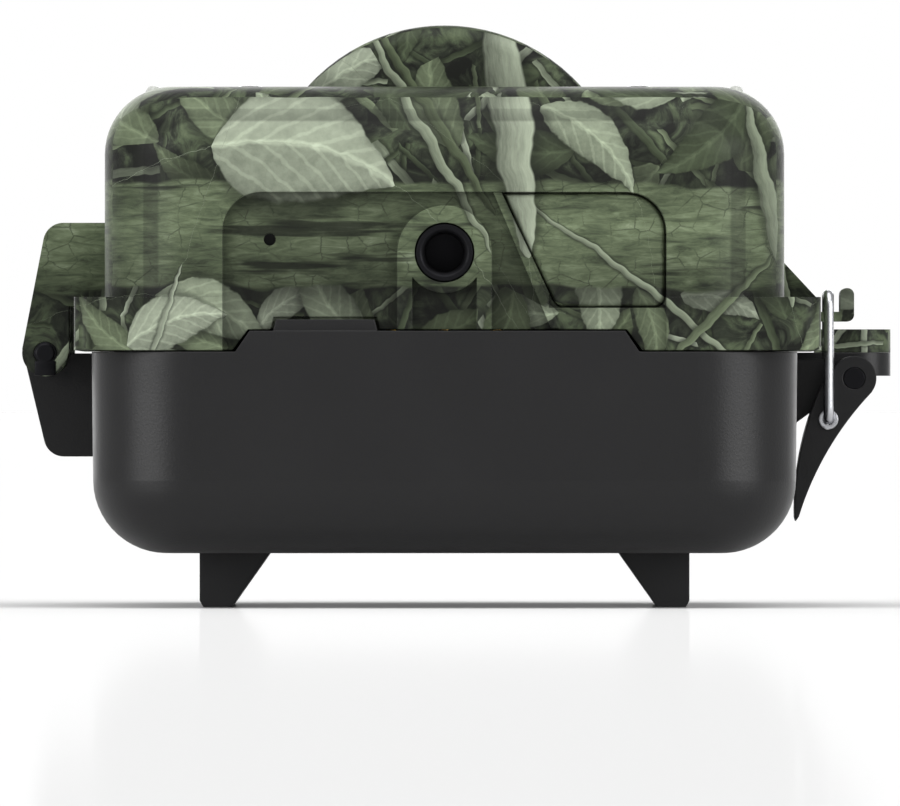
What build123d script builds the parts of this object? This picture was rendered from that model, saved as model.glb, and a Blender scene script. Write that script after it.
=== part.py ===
"""Trail camera lying on its back: rear housing below, hinged front cover above.

Millimetres. +Z is the way the camera looks, +Y points to its top end, and the bottom end,
with the tripod socket, faces -Y. Lengths across are measured from the body's centreline, and
save() shifts every piece by the same step so that the origin is under the middle of the whole.
"""

import os

from build123d import *

os.makedirs("parts", exist_ok=True)

# ---- Driving dimensions ---------------------------------------------------------------------

# Body envelope
body_length = 148.0
housing_half = 47.15  # half width of the rear housing at its rim
housing_bottom = 7.35
housing_edge = 9.8  # radius round the rear housing's back edges
housing_draft = 0.6  # degrees
plan_corner = 13.4
parting = 34.35  # where the two halves meet
parting_gap = 0.2
wall = 2.5
slack = 0.2  # all-round gap of a part that drops into a recess
rim_step = 0.3  # how much thicker than its wall the rear housing's rim is
lip_low, lip_thick = 30.0, 2.0
lip_opening = (82.6, 136.4, 8.0)  # width, length and corner radius
gasket_low, gasket_thick = 32.0, 2.3
gasket_outside = (88.3, 142.2, 10.5)
gasket_inside = (84.3, 138.2, 8.7)

# Front cover
cover_bottom = parting + parting_gap / 2
housing_top = parting - parting_gap / 2
shell_half = 45.4
shell_end = 73.2  # distance of the shell's end walls from the middle
shell_corner = 12.4
shell_edge = 9.0
face_top = 69.66
cavity_edge = 6.6
end_wall = 3.4
flange_left, flange_right = -49.4, 50.2
flange_end = 73.6
flange_top = 41.55
flange_corner = 2.5

# The ridge that carries the lens and the motion sensor's window
ridge_radius = 24.6
ridge_top = 77.95
ridge_low, ridge_high = -56.0, 14.0
ridge_axis_z = ridge_top - ridge_radius
ridge_edge = 2.0
ridge_root = face_top - 4.0  # the ridge is cut off here, inside the front face
half_space = 80.0  # side of a block that clears away everything beyond a plane

# Raised middle of the housing's bottom end, and the finger notch above it
tab_top = 37.04
tab_left, tab_right = -26.0, 24.1
tab_slant = 1.9
tab_side_gap = 0.2
notch_left, notch_right, notch_top = -23.2, -8.6, 38.9
notch_slant = 0.4
notch_floor = 70.6
tongue_back, tongue_face = 71.0, 73.0  # the housing's tongue that fills the notch
tongue_gap = 0.35

# Recessed panel on the bottom end
recess_half = 29.6
recess_top = 55.55
recess_corner = 5.2
recess_floor = 71.8  # distance of the recess's floor from the middle
raised_floor = 72.6  # the same for its raised right part
bar_top, bar_bottom = (6.5, 55.5), (14.2, 37.35)
bar_foot = (15.6, parting - 1)
bar_width = 1.2
bar_height = 1.2

# Tripod socket: a 1/4-20 insert, modelled at its thread's minor diameter
socket_z = 47.47
socket_bore = 2.6
socket_outer = 4.0
socket_depth = 12.0
arch_outer = 6.3
arch_leg = 2.0
arch_ring = 5.4
arch_back = 60.0  # the socket's boss runs in to here
insert_chamfer = 0.5

# Microphone hole
mic_x, mic_z, mic_hole = -23.3, 49.2, 0.8
mic_radius, mic_length = 3.0, 3.0

# Port cover
flap_left_top, flap_left_bottom = 7.9, 15.0
flap_right = 29.35
flap_top, flap_bottom = 55.3, 40.3
flap_thickness = 1.4
flap_corner, flap_lower_corner, flap_edge = 5.1, 1.4, 0.68
relief_left = 13.9  # the pocket's lower corners are square, so that the cover can swing down
relief_top = 41.9

# Hinge
hinge_x, hinge_z = -53.6, 34.1
hinge_pin = 1.5
running_fit = 0.05
knuckle_radius = 3.1
knuckle_length = 16.0
knuckle_gap = 0.3
knuckle_count = 5
rear_wing = [(-46.0, 20.2), (-53.4, 20.2), (-56.6, 33.6)]
rear_wing_root = (-46.0, hinge_z)
front_wing = [(-44.5, 51.6), (-53.4, 51.6), (-56.7, 34.6)]
front_wing_foot = (-50.4, hinge_z)
front_wing_slot = [(-50.4, 40.4), (-49.0, 40.4), (-49.0, 38.0), (-44.5, 38.0)]
wing_corner = 2.7

# Latch
latch_y = -12.0
lever_x, lever_z = 55.2, 30.75
lever_pin = 1.45
lever_head = 3.0
lever_half = 9.0
lever_clearance = 8.2
lever_back = [(50.9, 30.0), (47.95, 20.9), (47.2, 12.0)]
lever_tip = (47.35, 11.5)
lever_front = [(47.75, 12.1), (51.6, 20.9), (57.6, 28.9)]
lug_half = 4.0
lug_outline = [(45.5, 33.35), (55.2, 33.35), (53.3, 28.95), (49.3, 26.1), (45.5, 23.3)]
lug_head = 2.6
eyelet_x, eyelet_z = 51.75, 25.2
eyelet_outer = 1.3
wire = 0.7
bail_half = 10.6
bail_top = 42.05
bail_bend = 0.9
hook_half = 8.0
hook_gusset_top = 46.7
hook_root, hook_end = 49.0, 54.2
hook_low, hook_high = 38.4, 39.7
bulb_x, bulb_z = 54.25, 40.65
bulb_width, bulb_height, bulb_corner = 1.9, 4.5, 0.9
eyelet_length, eyelet_middle = 3.4, 7.7
bail_end = 6.4

# Padlock hasp
hasp_y = 16.0
hasp_width = 14.0
hasp_tip = 60.5
hasp_hole_x = 55.4
hasp_hole = 3.1
hasp_corner = 4.5
hasp_front_top = 37.4
hasp_front_bottom = 34.27  # the two plates all but touch
hasp_rear_bottom = 31.1

# Tree bracket
bracket_outer = 32.9
bracket_foot = 4.3
bracket_root = 23.4
bracket_half = 36.0
strap_half = 16.0
strap_low, strap_high = 1.9, 6.6
bracket_bevel_x, bracket_bevel_z = 0.5, 0.87
bracket_screw_x, bracket_screw_y = 29.0, 27.0
bracket_screw, bracket_screw_depth = 1.5, 4.0
bracket_screw_proud = 0.2
bracket_screw_places = [
    (x, y) for x in (-bracket_screw_x, bracket_screw_x) for y in (-bracket_screw_y, bracket_screw_y)
]

# Batteries: AA cells in line, two to a column
cell_radius = 7.1
cell_length = 49.2
cell_pitch = 15.0
cell_columns = 4
cell_gap_y = 1.3
cell_z = 18.6
cell_nub, cell_nub_radius = 1.0, 2.7
cell_stack_shift = 0.9
contact_thick, contact_width, contact_height = 0.6, 10.0, 9.0
contact_button, contact_button_height = 3.0, 0.8
spring_length, spring_outer, spring_inner = 3.7, 4.2, 2.8
power_y, power_top = -62.0, 33.6
power_width, power_length, power_corner = 26.0, 7.0, 1.5
power_pin, power_pin_pitch = 0.9, 7.0
tray_low = 10.3
tray_top = 24.0
tray_side, tray_end_room, tray_corner = 1.3, 5.5, 2.0
tray_wall = 2.0
tray_screw_well, tray_screw_well_top = 3.4, 14.1

# Inside of the front cover
cavity_half = shell_half - wall
cavity_end = shell_end - end_wall
cavity_top = face_top - wall
cavity_corner = shell_corner - wall
panel_low, panel_thick = 37.9, 2.0
panel_top = panel_low + panel_thick
board_low, board_thick = 53.0, 1.6
board_top = board_low + board_thick

# Front face
led_window_y, led_window_size = 39.0, (60.0, 44.0)
led_window_corner = 6.0
led_window_thick = 1.9
led_radius = 2.5
led_columns, led_rows = 6, 6
led_pitch_x, led_pitch_y = 8.8, 6.4
led_board_low = 60.0
led_height = 3.4
led_window_edge = 0.4
led_window_low = face_top - led_window_thick + 0.3
led_rim = 2.0  # how far the window rests on the shell all round
lens_y = -2.0
bezel_outer, bezel_inner = 12.5, 8.6
glass_z = 74.6
bezel_low, bezel_high, bezel_rim = 66.0, 80.0, 1.0
glass_thick = 1.5
barrel_base, barrel_base_height = 16.0, 6.4
barrel_radius, barrel_height = 6.5, 9.6
barrel_mouth, barrel_mouth_depth = 5.0, 3.0
element_radius, element_height, element_edge = 4.95, 3.4, 1.6
element_step = 13.0  # the element's back, above the board
pir_low, pir_high = -47.0, -21.0
pir_half = 15.0
pir_thick = 1.2
pir_rim = 2.0
pir_sensor_radius, pir_sensor_height = 4.6, 4.2
pir_flange_radius, pir_flange_height = 5.4, 0.6
side_pir_x, side_pir_y = 39.1, -30.0
side_pir_length, side_pir_width = 16.0, 2.3
side_pir_low, side_pir_top, side_pir_edge = 64.6, 70.0, 0.9
side_sensor_x, side_sensor_radius = 33.5, 4.1
indicator_x, indicator_y = 26.0, -50.0
light_sensor_x = -26.0
small_window_hole, small_window_radius, small_window_length = 2.0, 1.9, 3.6
small_window_proud, small_window_edge = 0.2, 0.6

# Screen, keys and switches on the inner panel
screen_x, screen_y = -8.0, 36.0
screen_size = (44.0, 34.0)
screen_lip, screen_glass_thick, screen_seat = 2.0, 1.1, 1.2
screen_module_size = (46.0, 40.0, 2.6)
key_x, key_y, key_pitch = -8.0, -14.0, 11.5
key_radius = 4.0
key_proud = 1.2
key_edge, key_reach = 0.5, 0.8
key_flange, key_flange_height = 0.9, 0.7
menu_steps = 2.1  # the menu key's distance from the middle column, in key pitches
key_switch, key_switch_height = 6.0, 2.6
plunger_radius, plunger_height = 1.7, 3.3
switch_x, switch_y = 30.0, 36.0
switch_travel = 4.0
knob_width, knob_length, knob_proud = 3.8, 5.0, 1.6
knob_slot_room = 0.3
knob_groove_pitch, knob_groove = 1.6, 0.6
knob_flange = (7.0, 8.0, 1.0)
switch_body = (9.0, 20.0, 4.0)
switch_body_step = 1.5
card_x, card_y = 35.0, -24.0
card_width, card_thick, card_length = 11.0, 1.0, 15.0
card_proud = 1.0
card_room = 0.8
slot_thick, slot_rim, slot_height = 4.4, 3.0, 10.0
key_board_low = 45.4
key_board_x, key_board_size, key_board_corner = 6.0, (52.0, 34.0), 2.0
main_board_size, main_board_corner = (78.0, 116.0), 5.0
jack_x, jack_z, jack_outer = 23.2, 46.2, 3.8
jack_bore, jack_pin, jack_depth = 2.8, 0.65, 9.0
jack_collar = 1.1
jack_body = (8.0, 11.0, 8.0)
usb_x, usb_z = 14.8, 51.6
usb_outside, usb_inside, usb_tongue = (8.4, 3.2, 0.8), (7.8, 2.6, 0.6), (6.0, 0.8)
usb_length, usb_depth = 9.0, 7.0
usb_back = 8.0
post_x, post_y, post_radius = 37.0, 63.0, 3.2
post_bore = 1.3
screw_head, screw_head_height, screw_length = 2.7, 1.2, 8.0
screw_seat, screw_seat_depth, screw_hole = 2.9, 1.3, 1.4
screw_cross, screw_cross_width, screw_cross_depth = 3.2, 0.6, 1.4
post_places = [(x, y) for x in (-post_x, post_x) for y in (-post_y, post_y)]

frame_shift_x = -(hasp_tip + hinge_x - knuckle_radius) / 2
beyond = 20.0  # length of a cut that passes right through a wall
seat_gap = 0.1  # between a piece and the one it stands behind
standing = (Align.CENTER, Align.CENTER, Align.MIN)
hanging = (Align.CENTER, Align.CENTER, Align.MAX)


# ---- Helpers --------------------------------------------------------------------------------


def end_plane(y):
    """The plane across the camera at y, seen from the bottom end: X to the right, Z up."""
    return Plane.XZ.offset(-y)


def rounded_block(width, length, corner, low, high, top_edge=0.0, bottom_edge=0.0):
    """An upright block with rounded plan corners and, if asked, rounded top or bottom edges."""
    with BuildPart() as block:
        with BuildSketch(Plane.XY.offset(low)):
            RectangleRounded(width, length, corner)
        extrude(amount=high - low)
        if top_edge:
            fillet(block.faces().sort_by(Axis.Z)[-1].edges(), radius=top_edge)
        if bottom_edge:
            fillet(block.faces().sort_by(Axis.Z)[0].edges(), radius=bottom_edge)
    return block.part


def flap_outline(grow):
    """The port cover's outline, grown all round by the gap it leaves."""
    with BuildSketch() as outline:
        with BuildLine():
            Polyline(
                (flap_left_top, flap_top),
                (flap_right, flap_top),
                (flap_right, flap_bottom),
                (flap_left_bottom, flap_bottom),
                close=True,
            )
        make_face()
        right_corners = outline.vertices().group_by(Axis.X)[-1]
        fillet(right_corners.sort_by(Axis.Y)[-1:], radius=flap_corner)
        lower = outline.vertices().group_by(Axis.Y)[0]
        fillet(lower, radius=flap_lower_corner)
        if grow:
            offset(amount=grow, kind=Kind.INTERSECTION)
    return outline.sketch


def knuckle_span(number):
    """Low and high Y of one hinge knuckle, counted from the bottom end."""
    low = (number - knuckle_count / 2) * knuckle_length + knuckle_gap / 2
    return low, low + knuckle_length - knuckle_gap


def spread(pitch, count):
    """Evenly spaced places along a line, counted from its middle."""
    first = -(count - 1) / 2 * pitch
    return [first + number * pitch for number in range(count)]


def save(piece, label):
    """Put a finished piece in the shared frame and write its STEP file."""
    placed = piece.moved(Location((frame_shift_x, 0, 0)))
    placed.label = label
    export_step(placed, f"parts/{label}.step")


# ---- Rear housing ---------------------------------------------------------------------------

with BuildPart() as rear_housing:
    with BuildSketch(Plane.XY.offset(housing_top)):
        RectangleRounded(2 * housing_half, body_length, plan_corner)
    extrude(amount=housing_bottom - housing_top, taper=housing_draft)
    fillet(rear_housing.faces().sort_by(Axis.Z)[0].edges(), radius=housing_edge)
    add(
        rounded_block(
            2 * (housing_half - wall - rim_step),
            body_length - 2 * (wall + rim_step),
            plan_corner - wall,
            housing_bottom + wall,
            parting + wall,
            bottom_edge=housing_edge - wall,
        ),
        mode=Mode.SUBTRACT,
    )
    # Raised middle of the bottom end
    with BuildSketch(end_plane(-body_length / 2 + wall)):
        with BuildLine():
            Polyline(
                (tab_left - tab_slant, housing_top - 1),
                (tab_left - tab_slant, housing_top),
                (tab_left, tab_top),
                (tab_right, tab_top),
                (tab_right + tab_slant, housing_top),
                (tab_right + tab_slant, housing_top - 1),
                close=True,
            )
        make_face()
    extrude(amount=wall)
    # Tongue that fills the front cover's finger notch
    with BuildSketch(end_plane(-tongue_back)):
        with BuildLine():
            Polyline(
                (notch_left + tongue_gap, tab_top - wall),
                (notch_left + tongue_gap, tab_top),
                (notch_left + tongue_gap + notch_slant, notch_top - tongue_gap),
                (notch_right - tongue_gap - notch_slant, notch_top - tongue_gap),
                (notch_right - tongue_gap, tab_top),
                (notch_right - tongue_gap, tab_top - wall),
                close=True,
            )
        make_face()
    extrude(amount=tongue_face - tongue_back)
    # Lip that carries the gasket
    with BuildSketch(Plane.XY.offset(lip_low)):
        RectangleRounded(2 * (housing_half - wall), body_length - 2 * wall, plan_corner - wall)
        RectangleRounded(*lip_opening, mode=Mode.SUBTRACT)
    extrude(amount=lip_thick)
    # Hinge wings between the cover's knuckles
    for number in range(1, knuckle_count, 2):
        low, high = knuckle_span(number)
        with BuildSketch(end_plane(high)) as wing:
            with BuildLine():
                Polyline(*rear_wing, (hinge_x, hinge_z), rear_wing_root, close=True)
            make_face()
            fillet(wing.vertices().sort_by(Axis.Y)[:2].sort_by(Axis.X)[:1], radius=wing_corner)
            with Locations((hinge_x, hinge_z)):
                Circle(knuckle_radius)
                Circle(hinge_pin + running_fit, mode=Mode.SUBTRACT)
        extrude(amount=high - low)
    # Lug that carries the latch lever
    with BuildSketch(end_plane(latch_y + lug_half)):
        with BuildLine():
            Polyline(*lug_outline, close=True)
        make_face()
        with Locations((lever_x, lever_z)):
            Circle(lug_head)
            Circle(lever_pin, mode=Mode.SUBTRACT)
    extrude(amount=2 * lug_half)
    # Screw holes for the tree brackets
    with Locations(*bracket_screw_places):
        Cylinder(bracket_screw, beyond, align=standing, mode=Mode.SUBTRACT)
save(rear_housing.part, "rear_housing")

with BuildPart() as rear_gasket:
    with BuildSketch(Plane.XY.offset(gasket_low)):
        RectangleRounded(*gasket_outside)
        RectangleRounded(*gasket_inside, mode=Mode.SUBTRACT)
    extrude(amount=gasket_thick)
save(rear_gasket.part, "rear_gasket")

with BuildPart() as rear_hasp:
    with BuildSketch(Plane.XY.offset(hasp_rear_bottom)) as outline:
        with Locations((housing_half, hasp_y)):
            Rectangle(hasp_tip - housing_half, hasp_width, align=(Align.MIN, Align.CENTER))
        fillet(outline.vertices().group_by(Axis.X)[-1], radius=hasp_corner)
        with Locations((hasp_hole_x, hasp_y)):
            Circle(hasp_hole, mode=Mode.SUBTRACT)
    extrude(amount=housing_top - hasp_rear_bottom)
save(rear_hasp.part, "rear_hasp")

# ---- Tree brackets --------------------------------------------------------------------------

for side, name in ((-1, "left"), (1, "right")):
    with BuildPart() as bracket:
        with BuildSketch(end_plane(bracket_half)) as profile:
            with BuildLine():
                Polyline(
                    (side * bracket_outer, bracket_bevel_z),
                    (side * bracket_outer, housing_bottom),
                    (side * bracket_root, housing_bottom),
                    (side * (bracket_outer - bracket_foot), 0),
                    (side * (bracket_outer - bracket_bevel_x), 0),
                    close=True,
                )
            make_face()
        extrude(amount=2 * bracket_half)
        with BuildSketch(Plane.XY.offset(strap_low)):
            Rectangle(4 * bracket_outer, 2 * strap_half)
        extrude(amount=strap_high - strap_low, mode=Mode.SUBTRACT)
        with Locations(*[(x, y, housing_bottom) for x, y in bracket_screw_places]):
            Cylinder(bracket_screw, 2 * bracket_screw_depth, mode=Mode.SUBTRACT)
    save(bracket.part, f"tree_bracket_{name}")

with BuildPart() as bracket_screws:
    with Locations(*[(x, y, housing_bottom - bracket_screw_depth) for x, y in bracket_screw_places]):
        Cylinder(bracket_screw, bracket_screw_depth + wall + bracket_screw_proud, align=standing)
save(bracket_screws.part, "bracket_screws")

# ---- Batteries ------------------------------------------------------------------------------

tray_width = cell_columns * cell_pitch + 2 * tray_side
tray_length = 2 * cell_length + cell_gap_y + 2 * tray_end_room
column_places = spread(cell_pitch, cell_columns)

with BuildPart() as battery_tray:
    with BuildSketch(Plane.XY.offset(tray_low)):
        RectangleRounded(tray_width, tray_length, tray_corner)
    extrude(amount=tray_top - tray_low)
    for x in column_places:
        with BuildSketch(end_plane(tray_length / 2 - tray_wall)):
            with Locations((x, cell_z)):
                Circle(cell_radius + slack)
                Rectangle(2 * (cell_radius + slack), beyond, align=(Align.CENTER, Align.MIN))
        extrude(amount=tray_length - 2 * tray_wall, mode=Mode.SUBTRACT)
    with Locations(*[(x, y, tray_screw_well_top) for x, y in bracket_screw_places]):
        Cylinder(tray_screw_well, beyond, align=hanging, mode=Mode.SUBTRACT)
save(battery_tray.part, "battery_tray")

with BuildPart() as battery_cells:
    for x in column_places:
        for end in (-1, 1):
            middle = cell_stack_shift + end * (cell_length + cell_gap_y) / 2
            with Locations((x, middle, cell_z)):
                Cylinder(cell_radius, cell_length, rotation=(90, 0, 0))
            with Locations((x, middle + cell_length / 2 + cell_nub / 2, cell_z)):
                Cylinder(cell_nub_radius, cell_nub, rotation=(90, 0, 0))
save(battery_cells.part, "battery_cells")

contact_y = tray_length / 2 - tray_wall
with BuildPart() as battery_springs:
    for x in column_places:
        with Locations((x, -contact_y + contact_thick / 2, cell_z)):
            Box(contact_width, contact_thick, contact_height)
        with BuildSketch(end_plane(-contact_y + contact_thick + spring_length)):
            with Locations((x, cell_z)):
                Circle(spring_outer)
                Circle(spring_inner, mode=Mode.SUBTRACT)
        extrude(amount=spring_length)
save(battery_springs.part, "battery_springs")

with BuildPart() as battery_contacts:
    for x in column_places:
        with Locations((x, contact_y - contact_thick / 2, cell_z)):
            Box(contact_width, contact_thick, contact_height)
        with Locations((x, contact_y - contact_thick - contact_button_height / 2, cell_z)):
            Cylinder(contact_button, contact_button_height, rotation=(90, 0, 0))
save(battery_contacts.part, "battery_contacts")

with BuildPart() as power_block:
    with BuildSketch(Plane.XY.offset(tray_low)):
        with Locations((0, power_y)):
            RectangleRounded(power_width, power_length, power_corner)
    extrude(amount=power_top - tray_low)
save(power_block.part, "power_block")

# ---- Front shell ----------------------------------------------------------------------------

latch_plane = end_plane(latch_y + hook_half)

with BuildPart() as front_shell:
    add(
        rounded_block(
            2 * shell_half, 2 * shell_end, shell_corner, cover_bottom, face_top, shell_edge
        )
    )
    # Ridge over the lens and the motion sensor
    with BuildSketch(end_plane(ridge_high)):
        with Locations((0, ridge_axis_z)):
            Circle(ridge_radius)
        with Locations((0, ridge_root)):
            Rectangle(half_space, half_space, align=(Align.CENTER, Align.MAX), mode=Mode.SUBTRACT)
    extrude(amount=ridge_high - ridge_low)
    ridge_arcs = front_shell.edges().filter_by(GeomType.CIRCLE)
    ridge_arcs = ridge_arcs.filter_by(lambda arc: abs(arc.radius - ridge_radius) < seat_gap)
    fillet(ridge_arcs, radius=ridge_edge)
    # Base flange
    with BuildSketch(Plane.XY.offset(cover_bottom)):
        with Locations(((flange_left + flange_right) / 2, 0)):
            RectangleRounded(flange_right - flange_left, 2 * flange_end, flange_corner)
    extrude(amount=flange_top - cover_bottom)
    add(
        rounded_block(
            2 * cavity_half, 2 * cavity_end, cavity_corner, parting - 1, cavity_top, cavity_edge
        ),
        mode=Mode.SUBTRACT,
    )
    with BuildSketch(end_plane(ridge_high - wall)):
        with Locations((0, ridge_axis_z)):
            Circle(ridge_radius - wall)
        with Locations((0, ridge_root - wall)):
            Rectangle(half_space, half_space, align=(Align.CENTER, Align.MAX), mode=Mode.SUBTRACT)
    extrude(amount=ridge_high - ridge_low - 2 * wall, mode=Mode.SUBTRACT)
    with BuildSketch(end_plane(-arch_back)):
        with Locations((0, socket_z)):
            Circle(arch_outer)
    extrude(amount=cavity_end + seat_gap - arch_back)
    # Posts that take the inner panel's screws
    with BuildSketch(Plane.XY.offset(panel_top)):
        with Locations(*post_places):
            Circle(post_radius)
            Circle(post_bore, mode=Mode.SUBTRACT)
    extrude(amount=cavity_top + seat_gap - panel_top)
    # Recessed panel on the bottom end, deeper left of the slanted bar
    with BuildSketch(end_plane(-raised_floor)) as recess:
        with Locations((0, recess_top)):
            Rectangle(2 * recess_half, recess_top - parting, align=(Align.CENTER, Align.MAX))
        fillet(recess.vertices().group_by(Axis.Y)[-1], radius=recess_corner)
    extrude(amount=beyond, mode=Mode.SUBTRACT)
    with BuildSketch(end_plane(-recess_floor)) as deep_recess:
        with BuildLine():
            Polyline(
                (-recess_half, parting - 1),
                (-recess_half, recess_top),
                (bar_top[0], recess_top),
                bar_bottom,
                bar_foot,
                close=True,
            )
        make_face()
        fillet(deep_recess.vertices().group_by(Axis.X)[0].sort_by(Axis.Y)[-1:], recess_corner)
    extrude(amount=beyond, mode=Mode.SUBTRACT)
    # Slanted bar beside the port cover
    with BuildSketch(end_plane(-recess_floor)):
        with BuildLine():
            Polyline(
                bar_top,
                (bar_top[0] + bar_width, bar_top[1]),
                (bar_bottom[0] + bar_width, bar_bottom[1]),
                bar_bottom,
                close=True,
            )
        make_face()
    extrude(amount=bar_height)
    # Arch round the tripod socket
    with BuildSketch(end_plane(-recess_floor)):
        with Locations((0, socket_z)):
            Circle(arch_outer)
            Rectangle(
                2 * arch_outer, socket_z - tab_top - parting_gap, align=(Align.CENTER, Align.MAX)
            )
            Rectangle(
                2 * (arch_outer - arch_leg),
                beyond,
                align=(Align.CENTER, Align.MAX),
                mode=Mode.SUBTRACT,
            )
            Circle(arch_ring)
    extrude(amount=shell_end - recess_floor)
    # Bottom edge stepped up over the housing's raised middle, with a finger notch
    with BuildSketch(end_plane(-cavity_end + parting_gap)):
        with BuildLine():
            Polyline(
                (tab_left - tab_slant - 2 * tab_side_gap, parting - 1),
                (tab_left - tab_slant - 2 * tab_side_gap, cover_bottom),
                (tab_left - tab_side_gap, tab_top + parting_gap),
                (tab_right + tab_side_gap, tab_top + parting_gap),
                (tab_right + tab_slant + 2 * tab_side_gap, cover_bottom),
                (tab_right + tab_slant + 2 * tab_side_gap, parting - 1),
                close=True,
            )
        make_face()
    extrude(amount=beyond, mode=Mode.SUBTRACT)
    with BuildSketch(end_plane(-notch_floor)):
        with BuildLine():
            Polyline(
                (notch_left, tab_top),
                (notch_left + notch_slant, notch_top),
                (notch_right - notch_slant, notch_top),
                (notch_right, tab_top),
                close=True,
            )
        make_face()
    extrude(amount=beyond, mode=Mode.SUBTRACT)
    # Tripod insert's seat and the microphone hole
    with BuildSketch(end_plane(-shell_end + socket_depth)):
        with Locations((0, socket_z)):
            Circle(socket_outer)
    extrude(amount=socket_depth + 1, mode=Mode.SUBTRACT)
    with BuildSketch(end_plane(-arch_back)):
        with Locations((mic_x, mic_z)):
            Circle(mic_hole)
    extrude(amount=beyond, mode=Mode.SUBTRACT)
    # Pocket of the port cover, with the two sockets' holes in its floor
    with BuildSketch(end_plane(-raised_floor + flap_thickness + slack)):
        add(flap_outline(slack))
    extrude(amount=beyond, mode=Mode.SUBTRACT)
    with BuildSketch(end_plane(-raised_floor + flap_thickness / 2)):
        with Locations((relief_left, flap_bottom - slack)):
            Rectangle(
                flap_right + slack - relief_left,
                relief_top - flap_bottom + slack,
                align=(Align.MIN, Align.MIN),
            )
    extrude(amount=beyond, mode=Mode.SUBTRACT)
    with BuildSketch(end_plane(-arch_back)):
        with Locations((jack_x, jack_z)):
            Circle(jack_outer + seat_gap)
        with Locations((usb_x, usb_z)):
            RectangleRounded(*[size + 2 * seat_gap for size in usb_outside])
    extrude(amount=beyond, mode=Mode.SUBTRACT)
    # Hinge wings, with a slot between each wing and the flange
    for number in range(0, knuckle_count, 2):
        low, high = knuckle_span(number)
        with BuildSketch(end_plane(high)) as wing:
            with BuildLine():
                Polyline(
                    *front_wing, (hinge_x, hinge_z), front_wing_foot, *front_wing_slot, close=True
                )
            make_face()
            fillet(wing.vertices().sort_by(Axis.Y)[-2:].sort_by(Axis.X)[:1], radius=wing_corner)
            with Locations((hinge_x, hinge_z)):
                Circle(knuckle_radius)
                Circle(hinge_pin + running_fit, mode=Mode.SUBTRACT)
        extrude(amount=high - low)
    # Hook for the wire bail: an arm, an outer bulb and a gusset
    with BuildSketch(latch_plane):
        with BuildLine():
            Polyline(
                (cavity_half, hook_gusset_top),
                (shell_half, hook_gusset_top),
                (flange_right, flange_top),
                (cavity_half, flange_top),
                close=True,
            )
        make_face()
        with BuildLine():
            Polyline(
                (hook_root, hook_low),
                (hook_end, hook_low),
                (hook_end, hook_high),
                (hook_root, hook_high),
                close=True,
            )
        make_face()
        with Locations((bulb_x, bulb_z)):
            RectangleRounded(bulb_width, bulb_height, bulb_corner)
    extrude(amount=2 * hook_half)
    # Openings in the front face
    with BuildSketch(Plane.XY.offset(led_window_low)):
        with Locations((0, led_window_y)):
            RectangleRounded(
                led_window_size[0] + 2 * slack, led_window_size[1] + 2 * slack, led_window_corner
            )
    extrude(amount=beyond, mode=Mode.SUBTRACT)
    with BuildSketch(Plane.XY.offset(led_board_low)):
        with Locations((0, led_window_y)):
            RectangleRounded(
                led_window_size[0] - 2 * led_rim,
                led_window_size[1] - 2 * led_rim,
                led_window_corner - led_rim,
            )
    extrude(amount=beyond, mode=Mode.SUBTRACT)
    with Locations((0, lens_y, led_board_low)):
        Cylinder(bezel_outer, beyond, align=standing, mode=Mode.SUBTRACT)
    with BuildSketch(end_plane(pir_high + slack)):
        with Locations((0, ridge_axis_z)):
            Circle(ridge_radius + pir_rim)
            Circle(ridge_radius - pir_thick, mode=Mode.SUBTRACT)
        with Locations((0, ridge_axis_z)):
            Rectangle(
                2 * pir_half, half_space, align=(Align.CENTER, Align.MIN), mode=Mode.INTERSECT
            )
    extrude(amount=pir_high - pir_low + 2 * slack, mode=Mode.SUBTRACT)
    with BuildSketch(Plane.XY.offset(led_board_low)):
        with Locations((0, (pir_low + pir_high) / 2)):
            Rectangle(2 * (pir_half - pir_rim), pir_high - pir_low - 2 * pir_rim)
    extrude(amount=beyond, mode=Mode.SUBTRACT)
    for side in (-1, 1):
        with BuildSketch(Plane.XY.offset(led_board_low)):
            with Locations((side * side_pir_x, side_pir_y)):
                SlotOverall(side_pir_length, side_pir_width, rotation=90)
        extrude(amount=beyond, mode=Mode.SUBTRACT)
    with Locations((indicator_x, indicator_y, face_top), (light_sensor_x, indicator_y, face_top)):
        Cylinder(small_window_hole, beyond / 2, mode=Mode.SUBTRACT)
save(front_shell.part, "front_shell")

# ---- Front shell's fixed pieces -------------------------------------------------------------

with BuildPart() as front_hasp:
    with BuildSketch(Plane.XY.offset(hasp_front_bottom)) as outline:
        with Locations((flange_right, hasp_y)):
            Rectangle(hasp_tip - flange_right, hasp_width, align=(Align.MIN, Align.CENTER))
        fillet(outline.vertices().group_by(Axis.X)[-1], radius=hasp_corner)
        with Locations((hasp_hole_x, hasp_y)):
            Circle(hasp_hole, mode=Mode.SUBTRACT)
    extrude(amount=hasp_front_top - hasp_front_bottom)
save(front_hasp.part, "front_hasp")

with BuildPart() as tripod_insert:
    with BuildSketch(end_plane(-shell_end + socket_depth)):
        with Locations((0, socket_z)):
            Circle(socket_outer)
            Circle(socket_bore, mode=Mode.SUBTRACT)
    extrude(amount=socket_depth)
    rim = tripod_insert.faces().sort_by(Axis.Y)[0].edges().filter_by(GeomType.CIRCLE)
    chamfer(rim.sort_by(lambda arc: arc.radius)[0], length=insert_chamfer)
save(tripod_insert.part, "tripod_insert")

with BuildPart() as microphone:
    with Locations((mic_x, -cavity_end + seat_gap + mic_length / 2, mic_z)):
        Cylinder(mic_radius, mic_length, rotation=(90, 0, 0))
save(microphone.part, "microphone")

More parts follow.
